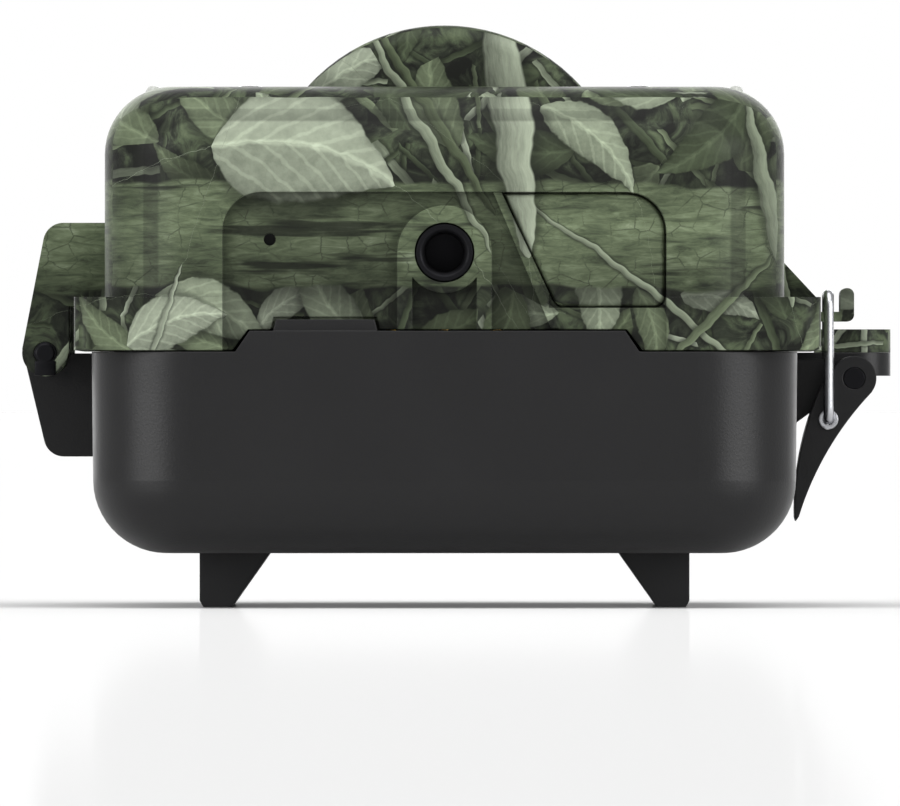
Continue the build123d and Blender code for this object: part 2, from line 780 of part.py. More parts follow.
# Sockets under the port cover
with BuildPart() as power_jack:
    with BuildSketch(end_plane(-cavity_end + seat_gap)):
        with Locations((jack_x, jack_z)):
            Circle(jack_outer)
    extrude(amount=jack_collar)
    with Locations((jack_x, -cavity_end + seat_gap, jack_z)):
        Box(*jack_body, align=(Align.CENTER, Align.MIN, Align.CENTER))
    with BuildSketch(end_plane(-cavity_end + jack_depth)):
        with Locations((jack_x, jack_z)):
            Circle(jack_bore)
            Circle(jack_pin, mode=Mode.SUBTRACT)
    extrude(amount=beyond, mode=Mode.SUBTRACT)
save(power_jack.part, "power_jack")

with BuildPart() as usb_socket:
    with BuildSketch(end_plane(-cavity_end + usb_back)):
        with Locations((usb_x, usb_z)):
            RectangleRounded(*usb_outside)
    extrude(amount=usb_length)
    with BuildSketch(end_plane(-cavity_end + usb_depth)):
        with Locations((usb_x, usb_z)):
            RectangleRounded(*usb_inside)
            Rectangle(*usb_tongue, mode=Mode.SUBTRACT)
    extrude(amount=beyond, mode=Mode.SUBTRACT)
save(usb_socket.part, "usb_socket")

# Infrared lamp behind its window
with BuildPart() as led_window:
    with BuildSketch(Plane.XY.offset(led_window_low)):
        with Locations((0, led_window_y)):
            RectangleRounded(*led_window_size, led_window_corner)
    extrude(amount=led_window_thick)
    fillet(led_window.faces().sort_by(Axis.Z)[-1].edges(), radius=led_window_edge)
save(led_window.part, "led_window")

with BuildPart() as led_board:
    with BuildSketch(Plane.XY.offset(led_board_low)):
        with Locations((0, led_window_y)):
            RectangleRounded(
                led_window_size[0] - led_rim, led_window_size[1] - led_rim, led_window_corner - led_rim
            )
    extrude(amount=board_thick)
save(led_board.part, "led_board")

with BuildPart() as leds:
    with Locations((0, led_window_y, led_board_low + board_thick)):
        with GridLocations(led_pitch_x, led_pitch_y, led_columns, led_rows):
            Cylinder(led_radius, led_height, align=standing)
    fillet(leds.faces().group_by(Axis.Z)[-1].edges(), radius=led_radius - led_window_edge)
save(leds.part, "leds")

# Lens
with BuildPart() as lens_bezel:
    with BuildSketch(Plane.XY.offset(bezel_low)):
        with Locations((0, lens_y)):
            Circle(bezel_outer - seat_gap)
    extrude(amount=bezel_high - bezel_low)
    with BuildSketch(end_plane(beyond)):
        with Locations((0, ridge_axis_z)):
            Circle(ridge_radius)
    extrude(amount=2 * beyond, mode=Mode.INTERSECT)
    with BuildSketch(Plane.XY.offset(bezel_low)):
        with Locations((0, lens_y)):
            Circle(bezel_inner + bezel_rim)
    extrude(amount=glass_z - bezel_low, mode=Mode.SUBTRACT)
    with BuildSketch(Plane.XY.offset(bezel_low)):
        with Locations((0, lens_y)):
            Circle(bezel_inner)
    extrude(amount=beyond, mode=Mode.SUBTRACT)
save(lens_bezel.part, "lens_bezel")

with BuildPart() as lens_glass:
    with Locations((0, lens_y, glass_z)):
        Cylinder(bezel_inner + bezel_rim - seat_gap, glass_thick, align=hanging)
save(lens_glass.part, "lens_glass")

with BuildPart() as lens_barrel:
    with Locations((0, lens_y, board_top)):
        Box(barrel_base, barrel_base, barrel_base_height, align=standing)
    with Locations((0, lens_y, board_top + barrel_base_height)):
        Cylinder(barrel_radius, barrel_height, align=standing)
    with Locations((0, lens_y, board_top + barrel_base_height + barrel_height)):
        Cylinder(barrel_mouth, barrel_mouth_depth, align=hanging, mode=Mode.SUBTRACT)
save(lens_barrel.part, "lens_barrel")

with BuildPart() as lens_element:
    with Locations((0, lens_y, board_top + element_step)):
        Cylinder(element_radius, element_height, align=standing)
    fillet(lens_element.faces().sort_by(Axis.Z)[-1].edges(), radius=element_edge)
save(lens_element.part, "lens_element")

# Motion sensors and their windows
with BuildPart() as pir_window:
    with BuildSketch(end_plane(pir_high)):
        with Locations((0, ridge_axis_z)):
            Circle(ridge_radius)
            Circle(ridge_radius - pir_thick, mode=Mode.SUBTRACT)
        with Locations((0, ridge_axis_z)):
            Rectangle(
                2 * (pir_half - slack),
                half_space,
                align=(Align.CENTER, Align.MIN),
                mode=Mode.INTERSECT,
            )
    extrude(amount=pir_high - pir_low)
save(pir_window.part, "pir_window")

with BuildPart() as pir_sensor:
    with Locations((0, (pir_low + pir_high) / 2, board_top)):
        Cylinder(pir_sensor_radius, pir_sensor_height, align=standing)
        Cylinder(pir_flange_radius, pir_flange_height, align=standing)
save(pir_sensor.part, "pir_sensor")

with BuildPart() as side_pir_windows:
    for side in (-1, 1):
        with BuildSketch(Plane.XY.offset(side_pir_low)):
            with Locations((side * side_pir_x, side_pir_y)):
                SlotOverall(side_pir_length - slack, side_pir_width - slack, rotation=90)
        extrude(amount=side_pir_top - side_pir_low)
    fillet(side_pir_windows.faces().group_by(Axis.Z)[-1].edges(), radius=side_pir_edge)
save(side_pir_windows.part, "side_pir_windows")

with BuildPart() as side_pir_sensors:
    with Locations(*[(side * side_sensor_x, side_pir_y, board_top) for side in (-1, 1)]):
        Cylinder(side_sensor_radius, pir_sensor_height, align=standing)
save(side_pir_sensors.part, "side_pir_sensors")

for x, name in ((indicator_x, "indicator_light"), (light_sensor_x, "light_sensor")):
    with BuildPart() as small_window:
        with Locations((x, indicator_y, face_top + small_window_proud)):
            Cylinder(small_window_radius, small_window_length, align=hanging)
        fillet(small_window.faces().sort_by(Axis.Z)[-1].edges(), radius=small_window_edge)
    save(small_window.part, name)

# Boards and inner panel
with BuildPart() as main_board:
    with BuildSketch(Plane.XY.offset(board_low)):
        RectangleRounded(*main_board_size, main_board_corner)
    extrude(amount=board_thick)
save(main_board.part, "main_board")

key_places = {
    "up": (key_x, key_y + key_pitch),
    "down": (key_x, key_y - key_pitch),
    "left": (key_x - key_pitch, key_y),
    "right": (key_x + key_pitch, key_y),
    "ok": (key_x, key_y),
    "menu": (key_x + menu_steps * key_pitch, key_y + key_pitch),
}

with BuildPart() as inner_panel:
    with BuildSketch(Plane.XY.offset(panel_low)):
        RectangleRounded(
            2 * (cavity_half - slack), 2 * (cavity_end - slack), cavity_corner - slack
        )
        with Locations((screen_x, screen_y)):
            Rectangle(
                screen_size[0] - 2 * screen_lip,
                screen_size[1] - 2 * screen_lip,
                mode=Mode.SUBTRACT,
            )
        with Locations(*key_places.values()):
            Circle(key_radius + knob_slot_room, mode=Mode.SUBTRACT)
        with Locations((switch_x, switch_y + switch_travel)):
            Rectangle(
                knob_width + 2 * knob_slot_room,
                2 * (switch_travel + knob_slot_room) + knob_length,
                mode=Mode.SUBTRACT,
            )
        with Locations((card_x, card_y)):
            Rectangle(card_thick + card_room, card_width + card_room, mode=Mode.SUBTRACT)
    extrude(amount=panel_thick)
    with BuildSketch(Plane.XY.offset(panel_low)):
        with Locations((screen_x, screen_y)):
            Rectangle(screen_size[0] + slack, screen_size[1] + slack)
    extrude(amount=screen_seat, mode=Mode.SUBTRACT)
    with BuildSketch(Plane.XY.offset(panel_low)):
        with Locations(*post_places):
            Circle(screw_seat)
    extrude(amount=screw_seat_depth, mode=Mode.SUBTRACT)
    with BuildSketch(Plane.XY.offset(panel_low)):
        with Locations(*post_places):
            Circle(screw_hole)
    extrude(amount=panel_thick, mode=Mode.SUBTRACT)
save(inner_panel.part, "inner_panel")

with BuildPart() as panel_screws:
    for x, y in post_places:
        with Locations((x, y, panel_low + seat_gap)):
            Cylinder(screw_head, screw_head_height, align=standing)
            Cylinder(post_bore, screw_length, align=standing)
        with Locations((x, y, panel_low)):
            Box(screw_cross, screw_cross_width, screw_cross_depth, mode=Mode.SUBTRACT)
            Box(screw_cross_width, screw_cross, screw_cross_depth, mode=Mode.SUBTRACT)
save(panel_screws.part, "panel_screws")

with BuildPart() as screen_glass:
    with BuildSketch(Plane.XY.offset(panel_low)):
        with Locations((screen_x, screen_y)):
            Rectangle(*screen_size)
    extrude(amount=screen_glass_thick)
save(screen_glass.part, "screen_glass")

with BuildPart() as screen_module:
    with Locations((screen_x, screen_y, panel_top + seat_gap)):
        Box(*screen_module_size, align=standing)
save(screen_module.part, "screen_module")

with BuildPart() as key_board:
    with BuildSketch(Plane.XY.offset(key_board_low)):
        with Locations((key_board_x, key_y)):
            RectangleRounded(*key_board_size, key_board_corner)
    extrude(amount=board_thick)
save(key_board.part, "key_board")

with BuildPart() as key_switches:
    for x, y in key_places.values():
        with Locations((x, y, key_board_low)):
            Box(key_switch, key_switch, key_switch_height, align=hanging)
            Cylinder(plunger_radius, plunger_height, align=hanging)
save(key_switches.part, "key_switches")

for name, (x, y) in key_places.items():
    with BuildPart() as key:
        with Locations((x, y, panel_low - key_proud)):
            Cylinder(key_radius, key_proud + panel_thick + key_reach, align=standing)
        fillet(key.faces().sort_by(Axis.Z)[0].edges(), radius=key_edge)
        with Locations((x, y, panel_top + seat_gap)):
            Cylinder(key_radius + key_flange, key_flange_height, align=standing)
    save(key.part, f"key_{name}")

with BuildPart() as mode_knob:
    with Locations((switch_x, switch_y, panel_low - knob_proud)):
        Box(knob_width, knob_length, knob_proud + panel_thick + seat_gap, align=standing)
    for step in (-knob_groove_pitch, 0.0, knob_groove_pitch):
        with Locations((switch_x, switch_y + step, panel_low - knob_proud)):
            Box(knob_width, knob_groove, knob_groove, align=standing, mode=Mode.SUBTRACT)
    with Locations((switch_x, switch_y, panel_top + seat_gap)):
        Box(*knob_flange, align=standing)
save(mode_knob.part, "mode_knob")

with BuildPart() as mode_switch:
    with Locations((switch_x, switch_y + switch_travel, panel_top + switch_body_step)):
        Box(*switch_body, align=standing)
save(mode_switch.part, "mode_switch")

with BuildPart() as card_slot:
    with Locations((card_x, card_y, panel_top + seat_gap)):
        Box(slot_thick, card_width + slot_rim, slot_height, align=standing)
        Box(card_thick + card_room, card_width + card_room, beyond, align=standing, mode=Mode.SUBTRACT)
save(card_slot.part, "card_slot")

with BuildPart() as memory_card:
    with Locations((card_x, card_y, panel_low - card_proud)):
        Box(card_thick, card_width, card_length, align=standing)
save(memory_card.part, "memory_card")

with BuildPart() as power_pins:
    with Locations(*[(x, power_y, power_top + seat_gap) for x in spread(power_pin_pitch, 3)]):
        Cylinder(power_pin, panel_low - power_top - seat_gap, align=standing)
save(power_pins.part, "power_pins")

# ---- Port cover -----------------------------------------------------------------------------

with BuildPart() as port_cover:
    with BuildSketch(end_plane(-raised_floor + flap_thickness)):
        add(flap_outline(0.0))
    extrude(amount=flap_thickness)
    lower_edges = port_cover.edges().filter_by(Axis.X).group_by(Axis.Z)[0]
    fillet(lower_edges, radius=flap_edge)
save(port_cover.part, "port_cover")

# ---- Hinge pin and latch --------------------------------------------------------------------

with BuildPart() as hinge_pin_rod:
    with Locations((hinge_x, 0, hinge_z)):
        Cylinder(hinge_pin, knuckle_count * knuckle_length, rotation=(90, 0, 0))
save(hinge_pin_rod.part, "hinge_pin")

with BuildPart() as latch_pin:
    with Locations((lever_x, latch_y, lever_z)):
        Cylinder(lever_pin, 2 * lever_half, rotation=(90, 0, 0))
save(latch_pin.part, "latch_pin")

with BuildPart() as latch_lever:
    with BuildSketch(end_plane(latch_y + lever_half)):
        with BuildLine():
            ThreePointArc(*lever_back)
            Polyline(lever_back[-1], lever_tip, lever_front[0])
            ThreePointArc(*lever_front)
            Polyline(lever_front[-1], (lever_x, lever_z), lever_back[0])
        make_face()
        with Locations((lever_x, lever_z)):
            Circle(lever_head)
            Circle(lever_pin + running_fit, mode=Mode.SUBTRACT)
        with Locations((eyelet_x, eyelet_z)):
            Circle(eyelet_outer + running_fit, mode=Mode.SUBTRACT)
    extrude(amount=2 * lever_half)
    with Locations((lever_x, latch_y, lever_z)):
        Cylinder(
            lever_clearance, 2 * (lug_half + knuckle_gap), rotation=(90, 0, 0), mode=Mode.SUBTRACT
        )
save(latch_lever.part, "latch_lever")

with BuildPart() as bail_eyelets:
    for side in (-1, 1):
        with BuildSketch(end_plane(latch_y + side * eyelet_middle + eyelet_length / 2)):
            with Locations((eyelet_x, eyelet_z)):
                Circle(eyelet_outer)
                Circle(wire + running_fit, mode=Mode.SUBTRACT)
        extrude(amount=eyelet_length)
save(bail_eyelets.part, "bail_eyelets")

with BuildPart() as latch_bail:
    with BuildLine(Plane.YZ.offset(eyelet_x)) as route:
        FilletPolyline(
            (latch_y - bail_end, eyelet_z),
            (latch_y - bail_half, eyelet_z),
            (latch_y - bail_half, bail_top),
            (latch_y + bail_half, bail_top),
            (latch_y + bail_half, eyelet_z),
            (latch_y + bail_end, eyelet_z),
            radius=bail_bend,
        )
    with BuildSketch(Plane(origin=route.line @ 0, z_dir=route.line % 0)):
        Circle(wire)
    sweep()
save(latch_bail.part, "latch_bail")
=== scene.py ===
"""A trail camera lying on its back, seen from its bottom end, in a white studio.

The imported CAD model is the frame. Patterns are worked out in millimetres from object
coordinates, so each piece's print and grain stay on it as it moves.
"""

import math
import random

import bmesh
import bpy
from mathutils import Matrix, Vector


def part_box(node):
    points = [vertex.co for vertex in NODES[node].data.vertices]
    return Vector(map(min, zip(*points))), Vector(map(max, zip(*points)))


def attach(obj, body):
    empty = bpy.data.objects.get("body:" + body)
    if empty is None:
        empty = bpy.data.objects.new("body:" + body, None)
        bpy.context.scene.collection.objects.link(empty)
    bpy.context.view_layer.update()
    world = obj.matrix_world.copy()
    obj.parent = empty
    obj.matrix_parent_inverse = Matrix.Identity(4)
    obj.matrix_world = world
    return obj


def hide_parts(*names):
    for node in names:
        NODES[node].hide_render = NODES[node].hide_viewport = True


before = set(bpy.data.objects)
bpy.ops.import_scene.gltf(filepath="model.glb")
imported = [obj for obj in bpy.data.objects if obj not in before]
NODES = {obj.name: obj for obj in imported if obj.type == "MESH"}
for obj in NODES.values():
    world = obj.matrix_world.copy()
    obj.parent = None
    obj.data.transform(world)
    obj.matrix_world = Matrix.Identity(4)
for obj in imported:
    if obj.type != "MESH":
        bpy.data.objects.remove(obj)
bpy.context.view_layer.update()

MM = 0.001

# ---- Shader graphs --------------------------------------------------------------------------


def srgb(red, green, blue):
    """A colour given as screen values from 0 to 255, as linear RGBA."""

    def linear(value):
        value /= 255.0
        return value / 12.92 if value <= 0.04045 else ((value + 0.055) / 1.055) ** 2.4

    return (linear(red), linear(green), linear(blue), 1.0)


COLOUR_INPUTS, COLOUR_OUTPUT = (6, 7), 2  # a Mix node's colour sockets, by number


class Graph:
    """Short names for building the nodes of one material, or of the world. Sockets and plain
    numbers mix freely."""

    def __init__(self, owner):
        owner.use_nodes = True
        self.owner = owner
        self.tree = owner.node_tree
        self.tree.nodes.clear()
        self.coordinates = self.tree.nodes.new("ShaderNodeTexCoord")
        self.normal = self.coordinates.outputs["Normal"]
        self.point = self.scale(self.coordinates.outputs["Object"], 1 / MM)

    def put(self, socket, value):
        """Links a socket, or sets a constant on it."""
        if isinstance(value, bpy.types.NodeSocket):
            self.tree.links.new(value, socket)
        else:
            socket.default_value = value

    def node(self, kind, inputs=(), **settings):
        """A new node, with its inputs put and its settings set."""
        made = self.tree.nodes.new("ShaderNode" + kind)
        for key, value in settings.items():
            setattr(made, key, value)
        for key, value in dict(inputs).items():
            self.put(made.inputs[key], value)
        return made

    def math(self, operation, first, second=0.0):
        made = self.node("Math", {0: first, 1: second}, operation=operation)
        return made.outputs[0]

    def add(self, first, second):
        return self.math("ADD", first, second)

    def sub(self, first, second):
        return self.math("SUBTRACT", first, second)

    def mul(self, first, second):
        return self.math("MULTIPLY", first, second)

    def power(self, first, second):
        return self.math("POWER", first, second)

    def absolute(self, value):
        return self.math("ABSOLUTE", value)

    def steps(self, value, low, high, start=0.0, end=1.0):
        """start below low, end above high, smooth between."""
        inputs = {0: value, 1: low, 2: high, 3: start, 4: end}
        return self.node("MapRange", inputs, interpolation_type="SMOOTHSTEP").outputs[0]

    def vector(self, operation, first, second=(0, 0, 0)):
        made = self.node("VectorMath", {0: first, 1: second}, operation=operation)
        return made.outputs[0]

    def scale(self, vector, factor):
        made = self.node("VectorMath", {0: vector, "Scale": factor}, operation="SCALE")
        return made.outputs[0]

    def turn(self, vector, angle):
        inputs = {"Vector": vector, "Angle": angle}
        return self.node("VectorRotate", inputs, rotation_type="Z_AXIS").outputs[0]

    def split(self, vector):
        made = self.node("SeparateXYZ", {"Vector": vector})
        return made.outputs[0], made.outputs[1], made.outputs[2]

    def join(self, x=0.0, y=0.0, z=0.0):
        return self.node("CombineXYZ", {0: x, 1: y, 2: z}).outputs[0]

    def noise(self, vector, size, detail=3.0, roughness=0.55, distortion=0.0):
        """Noise whose blotches are about size millimetres across."""
        made = self.node(
            "TexNoise",
            {
                "Vector": vector,
                "Scale": 1 / size,
                "Detail": detail,
                "Roughness": roughness,
                "Distortion": distortion,
            },
        )
        return made.outputs["Fac"]

    def voronoi(self, vector, size, feature="F1", randomness=1.0):
        """Flat mosaic of cells about size millimetres across."""
        made = self.node("TexVoronoi", feature=feature, voronoi_dimensions="2D")
        self.put(made.inputs["Vector"], vector)
        self.put(made.inputs["Scale"], 1 / size)
        self.put(made.inputs["Randomness"], randomness)
        return made

    def mix(self, factor, first, second, blend="MIX"):
        made = self.node("Mix", data_type="RGBA", blend_type=blend, clamp_factor=True)
        for place, value in zip((0, *COLOUR_INPUTS), (factor, first, second)):
            self.put(made.inputs[place], value)
        return made.outputs[COLOUR_OUTPUT]

    def ramp(self, factor, stops, interpolation="LINEAR"):
        """Colours along a scale, from (place, colour) stops."""
        made = self.node("ValToRGB", {"Fac": factor})
        band = made.color_ramp
        band.interpolation = interpolation
        while len(band.elements) < len(stops):
            band.elements.new(0.5)
        for element, (place, colour) in zip(band.elements, stops):
            element.position = place
            element.color = colour
        return made.outputs["Color"]

    def shade(self, colour, amount):
        """The colour times a number."""
        return self.mix(1.0, colour, self.join(amount, amount, amount), "MULTIPLY")

    def bump(self, height, depth, edge=0.25):
        """A normal for relief depth millimetres deep, on edges rounded to edge millimetres."""
        rounded = self.node("Bevel", {"Radius": edge * MM}, samples=4)
        made = self.node("Bump", {"Height": height, "Distance": depth * MM})
        self.put(made.inputs["Normal"], rounded.outputs[0])
        return made.outputs[0]

    def finish(self, colour, roughness, normal=None, **principled):
        """Ends the nodes in one principled shader, and returns the material."""
        shader = self.node("BsdfPrincipled", {"Base Color": colour, "Roughness": roughness})
        for key, value in principled.items():
            self.put(shader.inputs[key.replace("_", " ")], value)
        if normal is not None:
            self.put(shader.inputs["Normal"], normal)
        self.node("OutputMaterial", {"Surface": shader.outputs[0]})
        return self.owner


def new_graph(name):
    """Nodes of a new material."""
    return Graph(bpy.data.materials.new(name))


# ---- Camouflage print -----------------------------------------------------------------------

NIGHT = srgb(27, 29, 25)
SHADOW = srgb(49, 54, 44)
MOSS = srgb(79, 89, 68)
OLIVE = srgb(97, 108, 83)
SAGE = srgb(118, 130, 103)
PALE = srgb(152, 163, 139)
BONE = srgb(170, 180, 158)
TINTS = [(0.0, MOSS), (0.3, OLIVE), (0.5, SAGE), (0.72, PALE), (0.9, BONE)]

FRONT_SHIFT, SIDE_SHIFT = 90.0, 31.0  # keep the front's and sides' print clear of the end's


def print_plane(graph):
    """Flat print coordinates in millimetres: each side of the shell takes the view square on
    to it, and the change from one to the next is ragged, so that it reads as a leaf's edge."""
    x, y, z = graph.split(graph.point)
    across, along, up = graph.split(graph.normal)
    ragged = graph.mul(graph.sub(graph.noise(graph.point, 5.0), 0.5), 0.5)
    across = graph.absolute(across)
    along = graph.add(graph.mul(graph.absolute(along), 2.3), ragged)
    up = graph.add(graph.mul(graph.absolute(up), 1.5), graph.mul(ragged, 0.6))
    from_end = graph.mul(
        graph.math("GREATER_THAN", along, across), graph.math("GREATER_THAN", along, up)
    )
    from_side = graph.mul(graph.math("GREATER_THAN", across, up), graph.sub(1.0, from_end))
    from_front = graph.sub(graph.sub(1.0, from_end), from_side)
    front = graph.join(x, graph.add(y, FRONT_SHIFT), 0.0)
    side = graph.join(graph.add(y, SIDE_SHIFT), z, 0.0)
    end = graph.join(x, z, 0.0)
    point = graph.vector(
        "ADD",
        graph.vector("ADD", graph.scale(front, from_front), graph.scale(side, from_side)),
        graph.scale(end, from_end),
    )
    bottom_end = graph.mul(from_end, graph.math("LESS_THAN", y, 0.0))
    return point, bottom_end


def leaf(graph, point, centre, angle, length, width, tint, under, only=1.0):
    """Lays one leaf, or one per cell where centre and angle are sockets, over the colour under.
    length is from stalk to tip in millimetres, and width is its share of that."""
    local = graph.turn(graph.vector("SUBTRACT", point, centre), angle)
    x, y, _ = graph.split(graph.scale(local, 2 / length))
    ragged = graph.sub(graph.noise(point, length / 9, 2.0), 0.5)
    y = graph.add(y, graph.mul(graph.mul(x, x), 0.22))
    y = graph.add(y, graph.mul(ragged, 0.13))
    reach = graph.math("MAXIMUM", graph.sub(1.0, graph.mul(x, x)), 0.0)
    body = graph.mul(graph.power(reach, 0.8), graph.add(0.8, graph.mul(x, -0.35)))
    outline = graph.math("MAXIMUM", graph.mul(body, width), 0.001)
    off_rib = graph.absolute(y)
    share = graph.math("DIVIDE", off_rib, outline)
    veins = graph.math("SINE", graph.mul(graph.add(x, graph.mul(off_rib, -1.5)), 21.0))
    veins = graph.steps(veins, 0.55, 1.0)
    rib = graph.steps(off_rib, 0.012, 0.05, 1.0, 0.0)
    half = graph.math("GREATER_THAN", y, 0.0)
    mottle = graph.noise(point, length / 14, 4.0, 0.65)
    light = graph.add(0.3, graph.mul(mottle, 0.56))
    light = graph.add(light, graph.mul(veins, 0.16))
    light = graph.add(light, graph.mul(half, 0.16))
    light = graph.sub(light, graph.mul(graph.power(share, 4.0), 0.28))
    light = graph.add(light, graph.mul(rib, 0.3))
    mask = graph.mul(graph.steps(share, 0.93, 1.03, 1.0, 0.0), only)
    shadow = graph.mul(graph.steps(share, 1.0, 1.6, 0.55, 0.0), only)
    under = graph.mix(shadow, under, NIGHT)
    return graph.mix(mask, under, graph.shade(tint, light))


def stick(graph, point, centre, angle, length, thick, tint, under, only=1.0):
    """Lays a crooked twig or branch, lit along one side, over the colour under."""
    local = graph.turn(graph.vector("SUBTRACT", point, centre), angle)
    x, y, _ = graph.split(local)
    sway = graph.sub(graph.noise(graph.join(x, centre_number(centre), 0.0), length / 4, 2.0), 0.5)
    y = graph.add(y, graph.mul(sway, length * 0.12))
    taper = graph.sub(1.0, graph.absolute(graph.mul(x, 1.2 / length)))
    taper = graph.power(graph.math("MAXIMUM", taper, 0.0), 0.45)
    outline = graph.math("MAXIMUM", graph.mul(taper, thick / 2), 0.01)
    side = graph.math("DIVIDE", y, outline)
    share = graph.absolute(side)
    grain = graph.noise(graph.join(graph.mul(x, 0.22), graph.mul(y, 1.6), 0.0), 1.1, 4.0, 0.7)
    light = graph.add(0.2, graph.mul(grain, 0.8))
    light = graph.add(light, graph.mul(side, 0.3))
    mask = graph.mul(graph.steps(share, 0.88, 1.08, 1.0, 0.0), only)
    shadow = graph.mul(graph.steps(share, 1.0, 2.2, 0.6, 0.0), only)
    under = graph.mix(shadow, under, NIGHT)
    return graph.mix(mask, under, graph.shade(tint, light))


def centre_number(centre):
    """A number that differs from one twig to the next, for its own sway."""
    return centre[0] + 3.7 * centre[1] if isinstance(centre, tuple) else 0.0


def scattered(graph, point, size, seed, share):
    """Place, angle, tint and presence of one leaf or twig in each cell of a random mosaic. share
    is how many of the cells have one."""
    shift = (seed * 37.0, seed * 53.0, 0.0)
    cells = graph.voronoi(graph.vector("ADD", point, shift), size, randomness=0.85)
    place = graph.vector("SUBTRACT", cells.outputs["Position"], shift)
    first, second, third = graph.split(cells.outputs["Color"])
    angle = graph.mul(first, 2 * math.pi)
    tint = graph.ramp(second, TINTS, "CONSTANT")
    present = graph.math("LESS_THAN", third, share)
    return place, angle, tint, present


def bark(graph, point):
    """Weathered wood: fine fibres along the print's first axis, short cracks across them and
    a few long dark splits."""
    x, y, _ = graph.split(point)
    fibre = graph.noise(graph.join(graph.mul(x, 0.2), y, 0.0), 0.9, 6.0, 0.7, 0.8)
    blotch = graph.noise(graph.join(graph.mul(x, 0.5), y, 0.0), 5.0, 4.0, 0.6)
    tone = graph.add(graph.mul(fibre, 0.62), graph.mul(blotch, 0.62))
    colour = graph.ramp(
        tone, [(0.44, SHADOW), (0.55, MOSS), (0.64, OLIVE), (0.74, SAGE), (0.86, PALE)]
    )
    sway = graph.join(graph.mul(fibre, 1.2), graph.mul(fibre, 0.6), 0.0)
    bent = graph.vector("ADD", point, sway)
    plates = graph.voronoi(bent, 3.0, "DISTANCE_TO_EDGE", 0.9)
    cracks = graph.steps(plates.outputs["Distance"], 0.0, 0.05, 1.0, 0.0)
    cracks = graph.mul(cracks, graph.steps(blotch, 0.42, 0.6))
    splits = graph.noise(graph.join(graph.mul(x, 0.08), y, 0.0), 2.6, 3.0, 0.6)
    splits = graph.steps(splits, 0.33, 0.41, 1.0, 0.0)
    dark = graph.math("MAXIMUM", graph.mul(cracks, 0.6), graph.mul(splits, 0.8))
    return graph.mix(dark, colour, NIGHT)


# The print's log: its lower and upper edges above the floor, and where it is brightest
LOG_LOW, LOG_HIGH, LOG_LIT = 43.0, 57.0, 51.0
# The bottom end's sunken floor, between two distances along the body, where painted shade goes
SUNK_OUTER, SUNK_INNER = -72.2, -70.8


